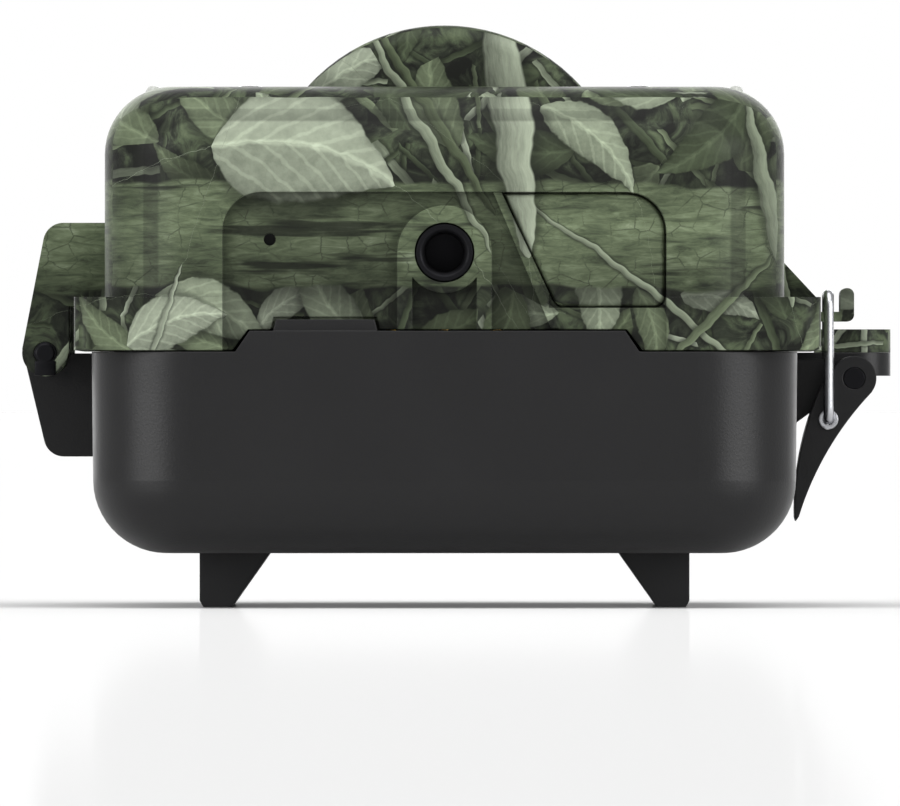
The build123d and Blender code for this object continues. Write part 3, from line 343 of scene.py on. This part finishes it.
def camo():
    """Leaf-and-bark print over the whole front shell, with its own arrangement on the bottom end,
    and painted shade on the end's sunken floor."""
    graph = new_graph("camo_print_and_painted_shade")
    point, bottom_end = print_plane(graph)
    x, y, _ = graph.split(point)

    # Litter in the dark underneath
    litter = graph.noise(point, 5.0, 6.0, 0.62, 1.2)
    colour = graph.ramp(
        litter, [(0.4, NIGHT), (0.5, SHADOW), (0.6, MOSS), (0.72, OLIVE)]
    )
    # Blades and twigs
    for seed, size, length, thick in (
        (1, 9.0, 15.0, 0.9),
        (2, 12.0, 20.0, 1.2),
        (3, 7.0, 11.0, 0.7),
    ):
        place, angle, tint, present = scattered(graph, point, size, seed, 0.8)
        colour = stick(graph, point, place, angle, length, thick, tint, colour, present)
    # Small leaves
    for seed, size, length, width in ((5, 11.0, 12.0, 0.42), (6, 14.0, 15.0, 0.5)):
        place, angle, tint, present = scattered(graph, point, size, seed, 0.7)
        colour = leaf(graph, point, place, angle, length, width, tint, colour, present)
    # Fallen log: a band of bark, with a ragged outline
    wave = graph.mul(graph.sub(graph.noise(graph.join(x, 0.0, 0.0), 22.0, 3.0), 0.5), 6.0)
    high = graph.add(y, wave)
    log = graph.mul(
        graph.steps(high, LOG_LOW - 0.4, LOG_LOW + 0.2),
        graph.steps(high, LOG_HIGH - 0.6, LOG_HIGH, 1.0, 0.0),
    )
    log_shadow = graph.mul(
        graph.steps(high, LOG_LOW - 5.0, LOG_LOW),
        graph.steps(high, LOG_HIGH, LOG_HIGH + 4.0, 1.0, 0.0),
    )
    colour = graph.mix(graph.mul(log_shadow, 0.7), colour, NIGHT)
    roundness = graph.sub(1.2, graph.mul(graph.absolute(graph.sub(high, LOG_LIT)), 0.075))
    colour = graph.mix(log, colour, graph.shade(bark(graph, point), roundness))
    # Large leaves over everything
    place, angle, tint, present = scattered(graph, point, 30.0, 8, 0.55)
    present = graph.mul(present, graph.sub(1.0, bottom_end))
    colour = leaf(graph, point, place, angle, 25.0, 0.55, tint, colour, present)
    # The bottom end's own arrangement
    for place, angle, length, width, tint in (
        ((-32.0, 39.8), 0.45, 17.0, 0.5, PALE),
        ((-38.0, 38.6), -0.3, 14.0, 0.6, BONE),
        ((34.0, 62.5), 2.4, 17.0, 0.5, MOSS),
        ((18.5, 62.6), 0.75, 17.0, 0.46, PALE),
        ((-20.2, 61.8), 0.2, 25.0, 0.78, BONE),
        ((24.0, 72.0), 2.5, 16.0, 0.4, MOSS),
    ):
        centre = (*place, 0.0)
        colour = leaf(graph, point, centre, angle, length, width, tint, colour, bottom_end)
    for place, angle, length, thick, tint in (
        ((-4.0, 66.5), 1.0, 20.0, 1.6, OLIVE),
        ((28.0, 40.0), 0.65, 30.0, 1.0, PALE),
        ((34.0, 39.0), 2.35, 14.0, 1.3, SAGE),
        ((6.6, 67.4), 1.44, 25.0, 5.6, BONE),
        ((-4.6, 63.5), 1.05, 22.0, 1.5, PALE),
        ((41.5, 54.0), 1.35, 17.0, 2.4, PALE),
        ((-39.5, 38.0), 1.9, 10.0, 0.8, BONE),
    ):
        centre = (*place, 0.0)
        colour = stick(graph, point, centre, angle, length, thick, tint, colour, bottom_end)

    # Random changes of tone over the print; the painted recess shade is multiplied in below
    tone_and_recess_shade = graph.add(0.52, graph.mul(graph.noise(graph.point, 16.0, 2.0), 0.5))
    # Painted shade: darkens the bottom end's sunken floor, where shade falls in the recess
    _, depth, _ = graph.split(graph.point)
    facing_end = graph.steps(graph.split(graph.normal)[1], -0.9, -0.6, 1.0, 0.0)
    sunk = graph.mul(
        graph.steps(depth, SUNK_OUTER, SUNK_OUTER + 0.25),
        graph.steps(depth, SUNK_INNER - 0.2, SUNK_INNER, 1.0, 0.0),
    )
    tone_and_recess_shade = graph.mul(tone_and_recess_shade, graph.sub(1.0, graph.mul(graph.mul(sunk, facing_end), 0.42)))
    colour = graph.shade(colour, tone_and_recess_shade)
    grain = graph.noise(graph.point, 0.35, 2.0, 0.5)
    roughness = graph.add(0.34, graph.mul(graph.noise(graph.point, 3.0), 0.12))
    return graph.finish(colour, roughness, graph.bump(grain, 0.02), Specular_IOR_Level=0.12)


# ---- Plastics, rubber and metals ------------------------------------------------------------


GRAIN, FLECK = 0.35, 0.12  # size of the moulded grain in millimetres, and how much it darkens


def moulded(name, colour, roughness, depth=0.02):
    """Moulded plastic: fine spark-eroded grain and faint, cloudy changes of sheen."""
    graph = new_graph(name)
    fine = graph.noise(graph.point, GRAIN, 3.0, 0.6)
    cloud = graph.noise(graph.point, 11.0, 3.0)
    tone = graph.add(1.0 - FLECK / 2, graph.mul(fine, FLECK))
    shaded = graph.shade(colour, tone)
    sheen = graph.add(roughness - 0.06, graph.mul(cloud, 0.12))
    return graph.finish(shaded, sheen, graph.bump(fine, depth), Specular_IOR_Level=0.32)


def rubber(name, colour):
    """Matt rubber with a little dust on it."""
    graph = new_graph(name)
    fine = graph.noise(graph.point, 0.25, 4.0, 0.7)
    dust = graph.steps(graph.noise(graph.point, 4.0, 4.0), 0.5, 0.75)
    shaded = graph.mix(graph.mul(dust, 0.25), colour, srgb(88, 86, 80))
    return graph.finish(shaded, 0.75, graph.bump(fine, 0.03))


def metal(name, colour, roughness):
    """Drawn or turned metal, with fine lines across the object."""
    graph = new_graph(name)
    drawn = graph.vector("MULTIPLY", graph.point, (0.05, 1.0, 1.0))
    lines = graph.noise(drawn, 0.12, 3.0, 0.6)
    stain = graph.noise(graph.point, 5.0, 4.0)
    shaded = graph.shade(colour, graph.add(0.82, graph.mul(stain, 0.3)))
    sheen = graph.add(roughness, graph.mul(lines, 0.14))
    return graph.finish(shaded, sheen, graph.bump(lines, 0.004), Metallic=1.0)


def board(name):
    """Green circuit board with buried tracks and pads."""
    graph = new_graph(name)
    x, y, _ = graph.split(graph.point)
    cells = graph.voronoi(graph.point, 4.5, randomness=0.6)
    first, second, _ = graph.split(cells.outputs["Color"])
    pads = graph.steps(cells.outputs["Distance"], 0.10, 0.13, 1.0, 0.0)
    way = graph.math("GREATER_THAN", first, 0.5)
    run = graph.add(graph.mul(x, way), graph.mul(y, graph.sub(1.0, way)))
    tracks = graph.steps(graph.math("SINE", graph.mul(run, 4.2)), 0.25, 0.5)
    tracks = graph.mul(tracks, graph.math("GREATER_THAN", second, 0.35))
    colour = graph.mix(graph.mul(tracks, 0.6), srgb(18, 70, 38), srgb(34, 104, 56))
    colour = graph.mix(pads, colour, srgb(190, 170, 110))
    return graph.finish(colour, 0.35, graph.bump(tracks, 0.03))


def clear(name, tint, roughness=0.02, index=1.5):
    """Clear plastic or glass with a few fine scuffs."""
    graph = new_graph(name)
    scuff = graph.steps(graph.noise(graph.point, 2.2, 5.0, 0.7), 0.62, 0.8)
    sheen = graph.add(roughness, graph.mul(scuff, 0.06))
    return graph.finish(tint, sheen, Transmission_Weight=1.0, IOR=index)


def smoke(name):
    """Infrared-pass window: nearly black, deep red against the light."""
    graph = new_graph(name)
    cloud = graph.noise(graph.point, 8.0, 3.0)
    colour = graph.mix(cloud, srgb(30, 10, 13), srgb(16, 6, 9))
    scuff = graph.steps(graph.noise(graph.point, 1.4, 5.0, 0.7), 0.6, 0.8)
    return graph.finish(
        colour, graph.add(0.05, graph.mul(scuff, 0.1)), Transmission_Weight=0.35, IOR=1.5
    )


def milky(name):
    """Polyethylene motion-sensor window, moulded with rows of small Fresnel lenses."""
    graph = new_graph(name)
    x, y, _ = graph.split(graph.point)
    half_width, half_length = 2.5, 3.25
    column = graph.math("PINGPONG", x, half_width)
    row = graph.math("PINGPONG", y, half_length)
    seam = graph.math("MINIMUM", column, row)
    squares = graph.add(graph.mul(column, column), graph.mul(row, row))
    rings = graph.math("SINE", graph.mul(graph.math("SQRT", squares), 11.0))
    seam_mask = graph.steps(seam, 0.05, 0.22)
    relief = graph.add(graph.mul(rings, 0.25), seam_mask)
    colour = graph.mix(seam_mask, srgb(132, 134, 130), srgb(176, 178, 173))
    return graph.finish(
        colour,
        0.34,
        graph.bump(relief, 0.08),
        Subsurface_Weight=0.2,
        Subsurface_Radius=(0.002, 0.002, 0.002),
        Subsurface_Scale=1.0,
    )


def sleeve(name):
    """Printed battery sleeve: dark body, a copper-coloured end and fine rings."""
    graph = new_graph(name)
    _, y, _ = graph.split(graph.point)
    half_cell = 25.0
    local = graph.math("PINGPONG", graph.sub(y, middle("battery_cells").y), half_cell)
    band = graph.steps(graph.absolute(graph.sub(local, 18.5)), 6.0, 6.2, 1.0, 0.0)
    ring = graph.steps(graph.absolute(graph.sub(local, 11.6)), 0.25, 0.35, 1.0, 0.0)
    fleck = graph.noise(graph.point, 1.0, 3.0)
    colour = graph.mix(band, srgb(32, 34, 38), srgb(176, 116, 62))
    colour = graph.mix(ring, colour, srgb(200, 200, 196))
    colour = graph.shade(colour, graph.add(0.9, graph.mul(fleck, 0.2)))
    bare = graph.steps(graph.absolute(graph.split(graph.normal)[1]), 0.85, 0.95)
    colour = graph.mix(bare, colour, srgb(200, 200, 203))
    metallic = graph.add(0.4, graph.mul(bare, 0.6))
    return graph.finish(colour, 0.3, graph.bump(fleck, 0.01), Metallic=metallic)


def screen(name):
    """Liquid crystal layer: near black, with a faint grid of cells."""
    graph = new_graph(name)
    x, y, _ = graph.split(graph.point)
    rows, columns = (graph.math("SINE", graph.mul(value, 22.0)) for value in (x, y))
    lines = graph.math("MAXIMUM", rows, columns)
    colour = graph.mix(graph.steps(lines, 0.8, 1.0), srgb(22, 25, 30), srgb(30, 34, 40))
    return graph.finish(colour, 0.25)


# ---- Mesh pieces ----------------------------------------------------------------------------


def middle(node):
    """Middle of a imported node, in millimetres."""
    low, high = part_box(node)
    return (low + high) / (2 * MM)


def corners_of(node):
    """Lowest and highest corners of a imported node, in millimetres."""
    low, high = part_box(node)
    return low / MM, high / MM


CENTRELINE = middle("inner_panel").x

# A slot name for each material that a mesh piece has, looked up in piece()
SLOT_OF = {
    "steel": "steel",
    "blackened_steel": "dark_metal",
    "black_plastic": "black_plastic",
    "lens_glass": "clear",
    "legend_paint": "key",
}
SHARP_DEGREES = 32  # faces that meet at more than this keep a sharp edge


def piece(name, builder, body, material, replaces=(), smooth=True):
    """Finishes a mesh made in millimetres and puts it on a body."""
    bmesh.ops.remove_doubles(builder, verts=builder.verts, dist=1e-5)
    bmesh.ops.recalc_face_normals(builder, faces=builder.faces)
    bmesh.ops.scale(builder, vec=(MM, MM, MM), verts=builder.verts)
    mesh = bpy.data.meshes.new(name)
    builder.to_mesh(mesh)
    builder.free()
    made = bpy.data.objects.new(name, mesh)
    bpy.context.scene.collection.objects.link(made)
    mesh.materials.append(material)
    if smooth:
        mesh.shade_smooth()
        mesh.set_sharp_from_angle(angle=math.radians(SHARP_DEGREES))
    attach(made, body)
    SLOT_OF[material.name.split(".")[0]]
    if replaces:
        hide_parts(*replaces)
    return made


def turned(builder, profile, origin, axis, segments=48):
    """Adds the solid swept by turning (radius, height) points about a line; the first and last
    points lie on it, or the profile closes on itself."""
    axis = Vector(axis).normalized()
    side = axis.orthogonal().normalized()
    other = axis.cross(side)
    origin = Vector(origin)
    rings = []
    for radius, height in profile:
        if radius < 1e-6:
            rings.append([builder.verts.new(origin + axis * height)])
            continue
        ring = []
        for step in range(segments):
            angle = 2 * math.pi * step / segments
            way = side * math.cos(angle) + other * math.sin(angle)
            ring.append(builder.verts.new(origin + axis * height + way * radius))
        rings.append(ring)
    pairs = list(zip(rings, rings[1:]))
    if len(rings[0]) > 1:
        pairs.append((rings[-1], rings[0]))
    for lower, upper in pairs:
        for step in range(segments):
            after = (step + 1) % segments
            if len(lower) == 1:
                builder.faces.new((lower[0], upper[step], upper[after]))
            elif len(upper) == 1:
                builder.faces.new((lower[step], lower[after], upper[0]))
            else:
                builder.faces.new((lower[step], lower[after], upper[after], upper[step]))


def block(builder, low, high, edge=0.0, steps=2):
    """Adds a box between two corners, with its edges rounded."""
    low, high = Vector(low), Vector(high)
    made = bmesh.ops.create_cube(builder, size=1.0)
    for vert in made["verts"]:
        vert.co = Vector(
            (low[i] + high[i]) / 2 + vert.co[i] * (high[i] - low[i]) for i in range(3)
        )
    if edge:
        edges = {item for vert in made["verts"] for item in vert.link_edges}
        bmesh.ops.bevel(
            builder, geom=list(edges), offset=edge, segments=steps, affect="EDGES", profile=0.5
        )


def tube(builder, path, radius, sides=16, cap=0.0):
    """Adds a round wire along a path, with domed ends cap millimetres high."""
    points = [Vector(item) for item in path]
    ways = []
    for place in range(len(points)):
        before, after = points[max(place - 1, 0)], points[min(place + 1, len(points) - 1)]
        ways.append((after - before).normalized())
    side = ways[0].orthogonal().normalized()
    rings = []

    def ring(centre, way, size):
        other = way.cross(side).normalized()
        rings.append(
            [
                builder.verts.new(
                    centre
                    + side * size * math.cos(2 * math.pi * step / sides)
                    + other * size * math.sin(2 * math.pi * step / sides)
                )
                for step in range(sides)
            ]
        )

    for place, (point, way) in enumerate(zip(points, ways)):
        side = (side - way * side.dot(way)).normalized()
        if place == 0 and cap:
            ring(point - way * cap, way, radius * 0.55)
        ring(point, way, radius)
        if place == len(points) - 1 and cap:
            ring(point + way * cap, way, radius * 0.55)
    for lower, upper in zip(rings, rings[1:]):
        for step in range(sides):
            after = (step + 1) % sides
            builder.faces.new((lower[step], lower[after], upper[after], upper[step]))
    builder.faces.new(rings[0])
    builder.faces.new(rings[-1])


def prism(builder, outline, low, high):
    """Adds a level shape between two heights."""
    lower = [builder.verts.new((x, y, low)) for x, y in outline]
    upper = [builder.verts.new((x, y, high)) for x, y in outline]
    builder.faces.new(lower)
    builder.faces.new(upper)
    for step in range(len(outline)):
        after = (step + 1) % len(outline)
        builder.faces.new((lower[step], lower[after], upper[after], upper[step]))


def tripod_thread(material):
    """Blackened insert with a cut thread and a closed bottom."""
    low, high = corners_of("tripod_insert")
    centre = middle("tripod_insert")
    outer, depth = (high.x - low.x) / 2, high.y - low.y
    minor, major, pitch = 2.6, 3.1, 1.27
    end_thick, run_out, face = 0.6, 1.0, 0.25
    profile = [(0.0, depth - end_thick), (minor, depth - end_thick)]
    turns = int((depth - 2 * run_out) / pitch)
    for turn in range(turns):
        base = depth - run_out - turn * pitch
        profile += [(minor, base), (major, base - pitch * 0.4), (major, base - pitch * 0.6)]
    profile += [(minor, 0.9), (3.05, 0.35), (3.2, face), (outer - 0.25, face)]
    profile += [(outer, 0.45), (outer, depth), (0.0, depth)]
    builder = bmesh.new()
    turned(builder, profile, (centre.x, low.y, centre.z), (0, 1, 0), 64)
    piece("tripod_thread", builder, "front_cover", material, ("tripod_insert",))


def wire_bail(material):
    """Sprung wire loop, drawn round the hook, with its feet turned into the lever's eyelets."""
    low, high = corners_of("latch_bail")
    wire, bend, bend_steps, turn_in = 0.7, 1.6, 8, 4.2
    x = (low.x + high.x) / 2
    near, far = low.y + wire, high.y - wire
    foot, top = low.z + wire, high.z - wire
    corners = [
        (near + turn_in, foot), (near, foot), (near, top), (far, top), (far, foot),
        (far - turn_in, foot),
    ]
    path = [(x, *corners[0])]
    for before, corner, after in zip(corners, corners[1:], corners[2:]):
        corner_point = Vector(corner)
        way_in = (Vector(before) - corner_point).normalized()
        way_out = (Vector(after) - corner_point).normalized()
        centre = corner_point + (way_in + way_out) * bend
        for step in range(bend_steps + 1):
            angle = math.pi / 2 * step / bend_steps
            point = centre - way_out * bend * math.cos(angle) - way_in * bend * math.sin(angle)
            path.append((x, *point))
    path.append((x, *corners[-1]))
    builder = bmesh.new()
    tube(builder, path, wire, 20, 0.2)
    piece("wire_bail", builder, "bail", material, ("latch_bail",))


def pin_keeper(material):
    """Keeper plate under the hinge pin's end, let into the last knuckle's face, and the pin's
    turned head."""
    low, high = corners_of("hinge_pin")
    x, _, z = middle("hinge_pin")
    radius, end = (high.z - low.z) / 2, low.y
    half_width, drop, proud, thick = 1.42, 3.0, 0.02, 0.6
    keeper_low = (x - half_width, end - proud, z - drop)
    keeper_high = (x + half_width, end + thick, z - radius * 0.7)
    builder = bmesh.new()
    block(builder, keeper_low, keeper_high, 0.12)
    piece("pin_keeper", builder, "front_cover", material)
    builder = bmesh.new()
    profile = [(0.0, -0.12), (radius - 0.35, -0.12), (radius - 0.05, 0.1), (radius - 0.05, 0.5)]
    turned(builder, profile + [(0.0, 0.5)], (x, end, z), (0, 1, 0), 32)
    piece("pin_head", builder, "rear_half", material)


def coil_springs(material):
    """Conical battery springs on their plates."""
    low, high = corners_of("battery_springs")
    columns, pitch = 4, 15.0
    turns, steps, wire = 3.5, 84, 0.32
    coil_radius, narrowing = 3.9, 1.2
    start, clearances = 0.9, 1.3
    plate_half, plate_thick = 5, 0.6
    builder = bmesh.new()
    for column in range(columns):
        x = CENTRELINE + (column - (columns - 1) / 2) * pitch
        z = (low.z + high.z) / 2
        plate_high = (x + plate_half, low.y + plate_thick, high.z)
        block(builder, (x - plate_half, low.y, low.z), plate_high, 0.15)
        path = []
        for step in range(steps + 1):
            share = step / steps
            angle = 2 * math.pi * turns * share
            radius = coil_radius - narrowing * share
            y = low.y + start + (high.y - low.y - clearances) * share
            path.append((x + radius * math.cos(angle), y, z + radius * math.sin(angle)))
        tube(builder, path, wire, 8)
    piece("coil_springs", builder, "rear_half", material, ("battery_springs",))


def lens_rings(baffle_material, glass_material):
    """Stepped, grooved ring round the lens, and its domed cover glass."""
    low, high = corners_of("lens_glass")
    centre = middle("lens_glass")
    radius, top = (high.x - low.x) / 2, high.z
    dome_radius, dome, thick = 8.428, 0.9, 1.5
    builder = bmesh.new()
    profile = [(0.0, top + dome)] + [
        (dome_radius * share, top + dome * (1 - share**2)) for share in (0.2, 0.4, 0.6, 0.8, 0.95)
    ]
    profile += [(dome_radius, top), (radius, top), (radius, top - thick), (0.0, top - thick)]
    turned(builder, profile, (centre.x, centre.y, 0), (0, 0, 1), 64)
    piece("cover_glass", builder, "front_cover", glass_material, ("lens_glass",))
    # Baffle inside the bezel, down to the barrel's mouth
    upper, lower = top - 2.2, corners_of("lens_barrel")[1].z - 0.3
    steps, outer, mouth, narrowing, groove = 6, 9.0, 8.4, 2.6, 0.43
    drop = (upper - lower) / steps
    builder = bmesh.new()
    profile = []
    for step in range(steps):
        ring = mouth - narrowing * step / steps
        height = upper - drop * step
        profile += [(ring, height), (ring, height - drop * 0.8), (ring - groove, height - drop)]
    profile += [(profile[-1][0], lower), (outer, lower), (outer, upper)]
    turned(builder, profile, (centre.x, centre.y, 0), (0, 0, 1), 64)
    piece("lens_baffle", builder, "front_cover", baffle_material)


def lamp_reflectors(material):
    """Bright cup round each lamp, on the lamp board."""
    low, high = corners_of("leds")
    rows, led = 6, 2.5
    profile = [(2.56, 0.1), (3.05, 2.6), (3.15, 2.6), (3.15, 0.0), (2.56, 0.0)]
    builder = bmesh.new()
    for column in range(rows):
        for row in range(rows):
            x = low.x + led + (high.x - low.x - 2 * led) * column / (rows - 1)
            y = low.y + led + (high.y - low.y - 2 * led) * row / (rows - 1)
            turned(builder, profile, (x, y, low.z), (0, 0, 1), 24)
    piece("lamp_reflectors", builder, "front_cover", material)


def key_legends(material):
    """Raised marks on the keys: four arrows, a ring and three bars."""
    arrow = [(-1.5, -0.9), (1.5, -0.9), (0.0, 1.3)]
    turns = {"up": 0, "left": 90, "down": 180, "right": -90}
    proud, sunk = 0.12, 0.2
    for name, degrees in turns.items():
        centre, base = middle("key_" + name), corners_of("key_" + name)[0].z
        turn = Matrix.Rotation(math.radians(degrees), 2)
        outline = [turn @ Vector(corner) for corner in arrow]
        outline = [(centre.x + u, centre.y + v) for u, v in outline]
        builder = bmesh.new()
        prism(builder, outline, base - proud, base + sunk)
        piece("legend_" + name, builder, "key_" + name, material, smooth=False)
    centre, base = middle("key_ok"), corners_of("key_ok")[0].z
    builder = bmesh.new()
    profile = [(1.3, -proud), (1.8, -proud), (1.8, sunk), (1.3, sunk)]
    turned(builder, profile, (centre.x, centre.y, base), (0, 0, 1), 40)
    piece("legend_ok", builder, "key_ok", material)
    centre, base = middle("key_menu"), corners_of("key_menu")[0].z
    pitch, half_long, half_wide = 1.1, 1.6, 0.22
    builder = bmesh.new()
    for step in (-1, 0, 1):
        y = centre.y + step * pitch
        low = (centre.x - half_long, y - half_wide, base - proud)
        block(builder, low, (centre.x + half_long, y + half_wide, base + sunk))
    piece("legend_menu", builder, "key_menu", material, smooth=False)


def board_parts(body_material, metal_material):
    """Small components on the back of the main board, seen round the key board."""
    chance = random.Random(11)
    low, high = corners_of("main_board")
    margin, gap, attempts = 8, 0.6, 40
    leadless = 4  # parts no wider than this have metal ends in place of pins
    pin_pitch, pin_half, pin_out, pin_tall = 1.27, 0.2, 0.8, 0.3
    cap_in, cap_proud = 0.5, 0.1  # the metal ends of the smallest parts
    sizes = [(11, 11, 1.2), (8, 12, 1.1), (7, 7, 1.4)] + [(3.2, 1.8, 0.8)] * 34
    bodies, metals = bmesh.new(), bmesh.new()
    taken = []
    z = low.z
    for width, length, tall in sizes:
        for _ in range(attempts):
            x = chance.uniform(low.x + margin, high.x - margin)
            y = chance.uniform(low.y + margin, high.y - margin)
            if all(
                abs(x - a) > (width + b) / 2 + gap or abs(y - c) > (length + d) / 2 + gap
                for a, c, b, d in taken
            ):
                break
        else:
            continue
        taken.append((x, y, width, length))
        half_wide, half_long = width / 2, length / 2
        body_low = (x - half_wide, y - half_long, z - tall)
        block(bodies, body_low, (x + half_wide, y + half_long, z), 0.12, 1)
        if width > leadless:
            pins = int(length / pin_pitch) - 1
            ends = [y - (pins - 1) / 2 * pin_pitch + pin * pin_pitch for pin in range(pins)]
            inner, outer, below = half_wide, half_wide + pin_out, pin_tall
            reach = pin_half
        else:
            ends = [y]
            inner, outer, below = half_wide - cap_in, half_wide + cap_proud, tall + cap_proud / 2
            reach = half_long + cap_proud / 2
        for at in ends:
            for side in (-1, 1):
                x_low, x_high = sorted((x + side * inner, x + side * outer))
                block(metals, (x_low, at - reach, z - below), (x_high, at + reach, z))
    piece("board_chips", bodies, "front_cover", body_material)
    piece("board_leads", metals, "front_cover", metal_material, smooth=False)


# ---- Dressing the frame ---------------------------------------------------------------------


KEYS = ("up", "down", "left", "right", "ok", "menu")


def dress():
    """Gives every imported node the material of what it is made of, and adds the mesh pieces."""
    painted = camo()
    dark = moulded("dark_plastic", srgb(19, 19, 20), 0.36)
    # Painted light: a lighter copy of the dark plastic on the brackets, standing in for the
    # floor's light on them
    feet = moulded("bracket_plastic_painted_light", srgb(38, 38, 39), 0.4)
    black = moulded("black_plastic", srgb(24, 24, 25), 0.5)
    panel = moulded("panel_plastic", srgb(58, 58, 60), 0.55, depth=0.03)
    keys = rubber("key_rubber", srgb(120, 122, 124))
    seal = rubber("seal_rubber", srgb(26, 26, 27))
    steel = metal("steel", srgb(205, 206, 210), 0.16)
    blacked = metal("blackened_steel", srgb(34, 34, 36), 0.3)
    brass = metal("plated_brass", srgb(214, 178, 106), 0.2)
    card_board = board("circuit_board")
    glass = clear("lens_glass", (0.93, 0.95, 1.0, 1.0))
    led = clear("led_resin", (0.9, 0.92, 1.0, 1.0), 0.05, 1.45)
    window = smoke("infrared_window")
    milk = milky("fresnel_window")
    cells = sleeve("battery_sleeve")
    display = screen("display")
    finish_of = {
        painted: ("front_shell", "front_hasp", "port_cover"),
        dark: ("rear_housing", "rear_hasp", "latch_lever", "power_block"),
        feet: ("tree_bracket_left", "tree_bracket_right"),
        black: (
            "microphone", "battery_tray", "power_jack", "lens_bezel", "lens_barrel",
            "memory_card",
        ),
        panel: ("inner_panel",),
        seal: ("rear_gasket",),
        steel: (
            "bracket_screws", "battery_springs", "battery_contacts", "latch_bail",
            "bail_eyelets", "usb_socket", "pir_sensor", "side_pir_sensors",
            "panel_screws", "key_switches", "mode_switch", "card_slot",
        ),
        blacked: ("tripod_insert", "latch_pin", "hinge_pin"),
        brass: ("power_pins",),
        card_board: ("main_board", "led_board", "key_board"),
        glass: ("lens_glass", "lens_element", "screen_glass"),
        led: ("leds", "indicator_light", "light_sensor"),
        window: ("led_window",),
        milk: ("pir_window", "side_pir_windows"),
        cells: ("battery_cells",),
        display: ("screen_module",),
        keys: ("mode_knob",) + tuple("key_" + name for name in KEYS),
    }
    for material, names in finish_of.items():
        for name in names:
            slots = NODES[name].data.materials
            slots.clear()
            slots.append(material)
    tripod_thread(blacked)
    wire_bail(steel)
    pin_keeper(blacked)
    coil_springs(steel)
    lens_rings(black, glass)
    lamp_reflectors(steel)
    key_legends(moulded("legend_paint", srgb(236, 236, 232), 0.5))
    board_parts(black, steel)


# ---- Studio ---------------------------------------------------------------------------------

FRAME_WIDTH_MM = 119.95  # what the picture's width takes in at the camera's bottom end
LENS_MM, SENSOR_MM = 1450.0, 36.0
AIM_ACROSS_MM, AIM_UP_MM = 0.735, 27.41  # picture's middle, from the body's centreline and floor
FLOOR_SIZE = 200.0
SURROUND = 0.4  # strength of the light from everywhere
# Soft boxes: the way to each, its half angle in degrees and its strength
SOFTBOXES = (
    (-0.78, -0.62, 0.12, 25.0, 5.6),
    (0.78, -0.62, 0.12, 25.0, 5.6),
    (0.0, -0.45, 1.0, 46.0, 1.9),
    (0.0, 1.0, 0.1, 40.0, 2.2),
)
CORE = 0.55  # share of a soft box's half angle that is fully bright


def studio():
    """White floor with a faint mirror in it, a white surround and the camera at the bottom end."""
    mesh = bpy.data.meshes.new("floor")
    builder = bmesh.new()
    bmesh.ops.create_grid(builder, x_segments=1, y_segments=1, size=FLOOR_SIZE / 2)
    builder.to_mesh(mesh)
    builder.free()
    floor = bpy.data.objects.new("floor", mesh)
    bpy.context.scene.collection.objects.link(floor)

    graph = new_graph("studio_floor")
    diffuse = graph.node("BsdfDiffuse", {"Color": (0.7, 0.7, 0.7, 1.0)})
    mirror = graph.node("BsdfGlossy", {"Color": (1.0, 1.0, 1.0, 1.0), "Roughness": 0.04})
    shaders = {0: 0.05, 1: diffuse.outputs[0], 2: mirror.outputs[0]}
    both = graph.node("MixShader", shaders)
    graph.node("OutputMaterial", {"Surface": both.outputs[0]})
    mesh.materials.append(graph.owner)

    world = bpy.data.worlds.new("surround")
    bpy.context.scene.world = world
    graph = Graph(world)
    way = graph.coordinates.outputs["Generated"]
    light = SURROUND
    for x, y, z, half_angle, strength in SOFTBOXES:
        aim = Vector((x, y, z)).normalized()
        facing = graph.node("VectorMath", {0: way, 1: aim}, operation="DOT_PRODUCT")
        edge = math.cos(math.radians(half_angle))
        core = math.cos(math.radians(half_angle * CORE))
        light = graph.add(light, graph.steps(facing.outputs["Value"], edge, core, 0.0, strength))
    seen = graph.node("LightPath").outputs["Is Camera Ray"]
    light = graph.add(graph.mul(light, graph.sub(1.0, seen)), seen)
    background = graph.node("Background", {"Color": (1.0, 1.0, 1.0, 1.0), "Strength": light})
    graph.node("OutputWorld", {"Surface": background.outputs[0]})

    camera = bpy.data.cameras.new("camera")
    camera.lens, camera.sensor_width = LENS_MM, SENSOR_MM
    camera.clip_start, camera.clip_end = 0.1, 500.0
    eye = bpy.data.objects.new("camera", camera)
    bpy.context.scene.collection.objects.link(eye)
    end_face = corners_of("rear_housing")[0].y
    distance = FRAME_WIDTH_MM * LENS_MM / SENSOR_MM
    place = Vector((CENTRELINE + AIM_ACROSS_MM, end_face - distance, AIM_UP_MM))
    eye.location = place * MM
    eye.rotation_euler = (math.pi / 2, 0.0, 0.0)
    bpy.context.scene.camera = eye


dress()
studio()
bpy.context.scene.view_settings.view_transform = "Standard"
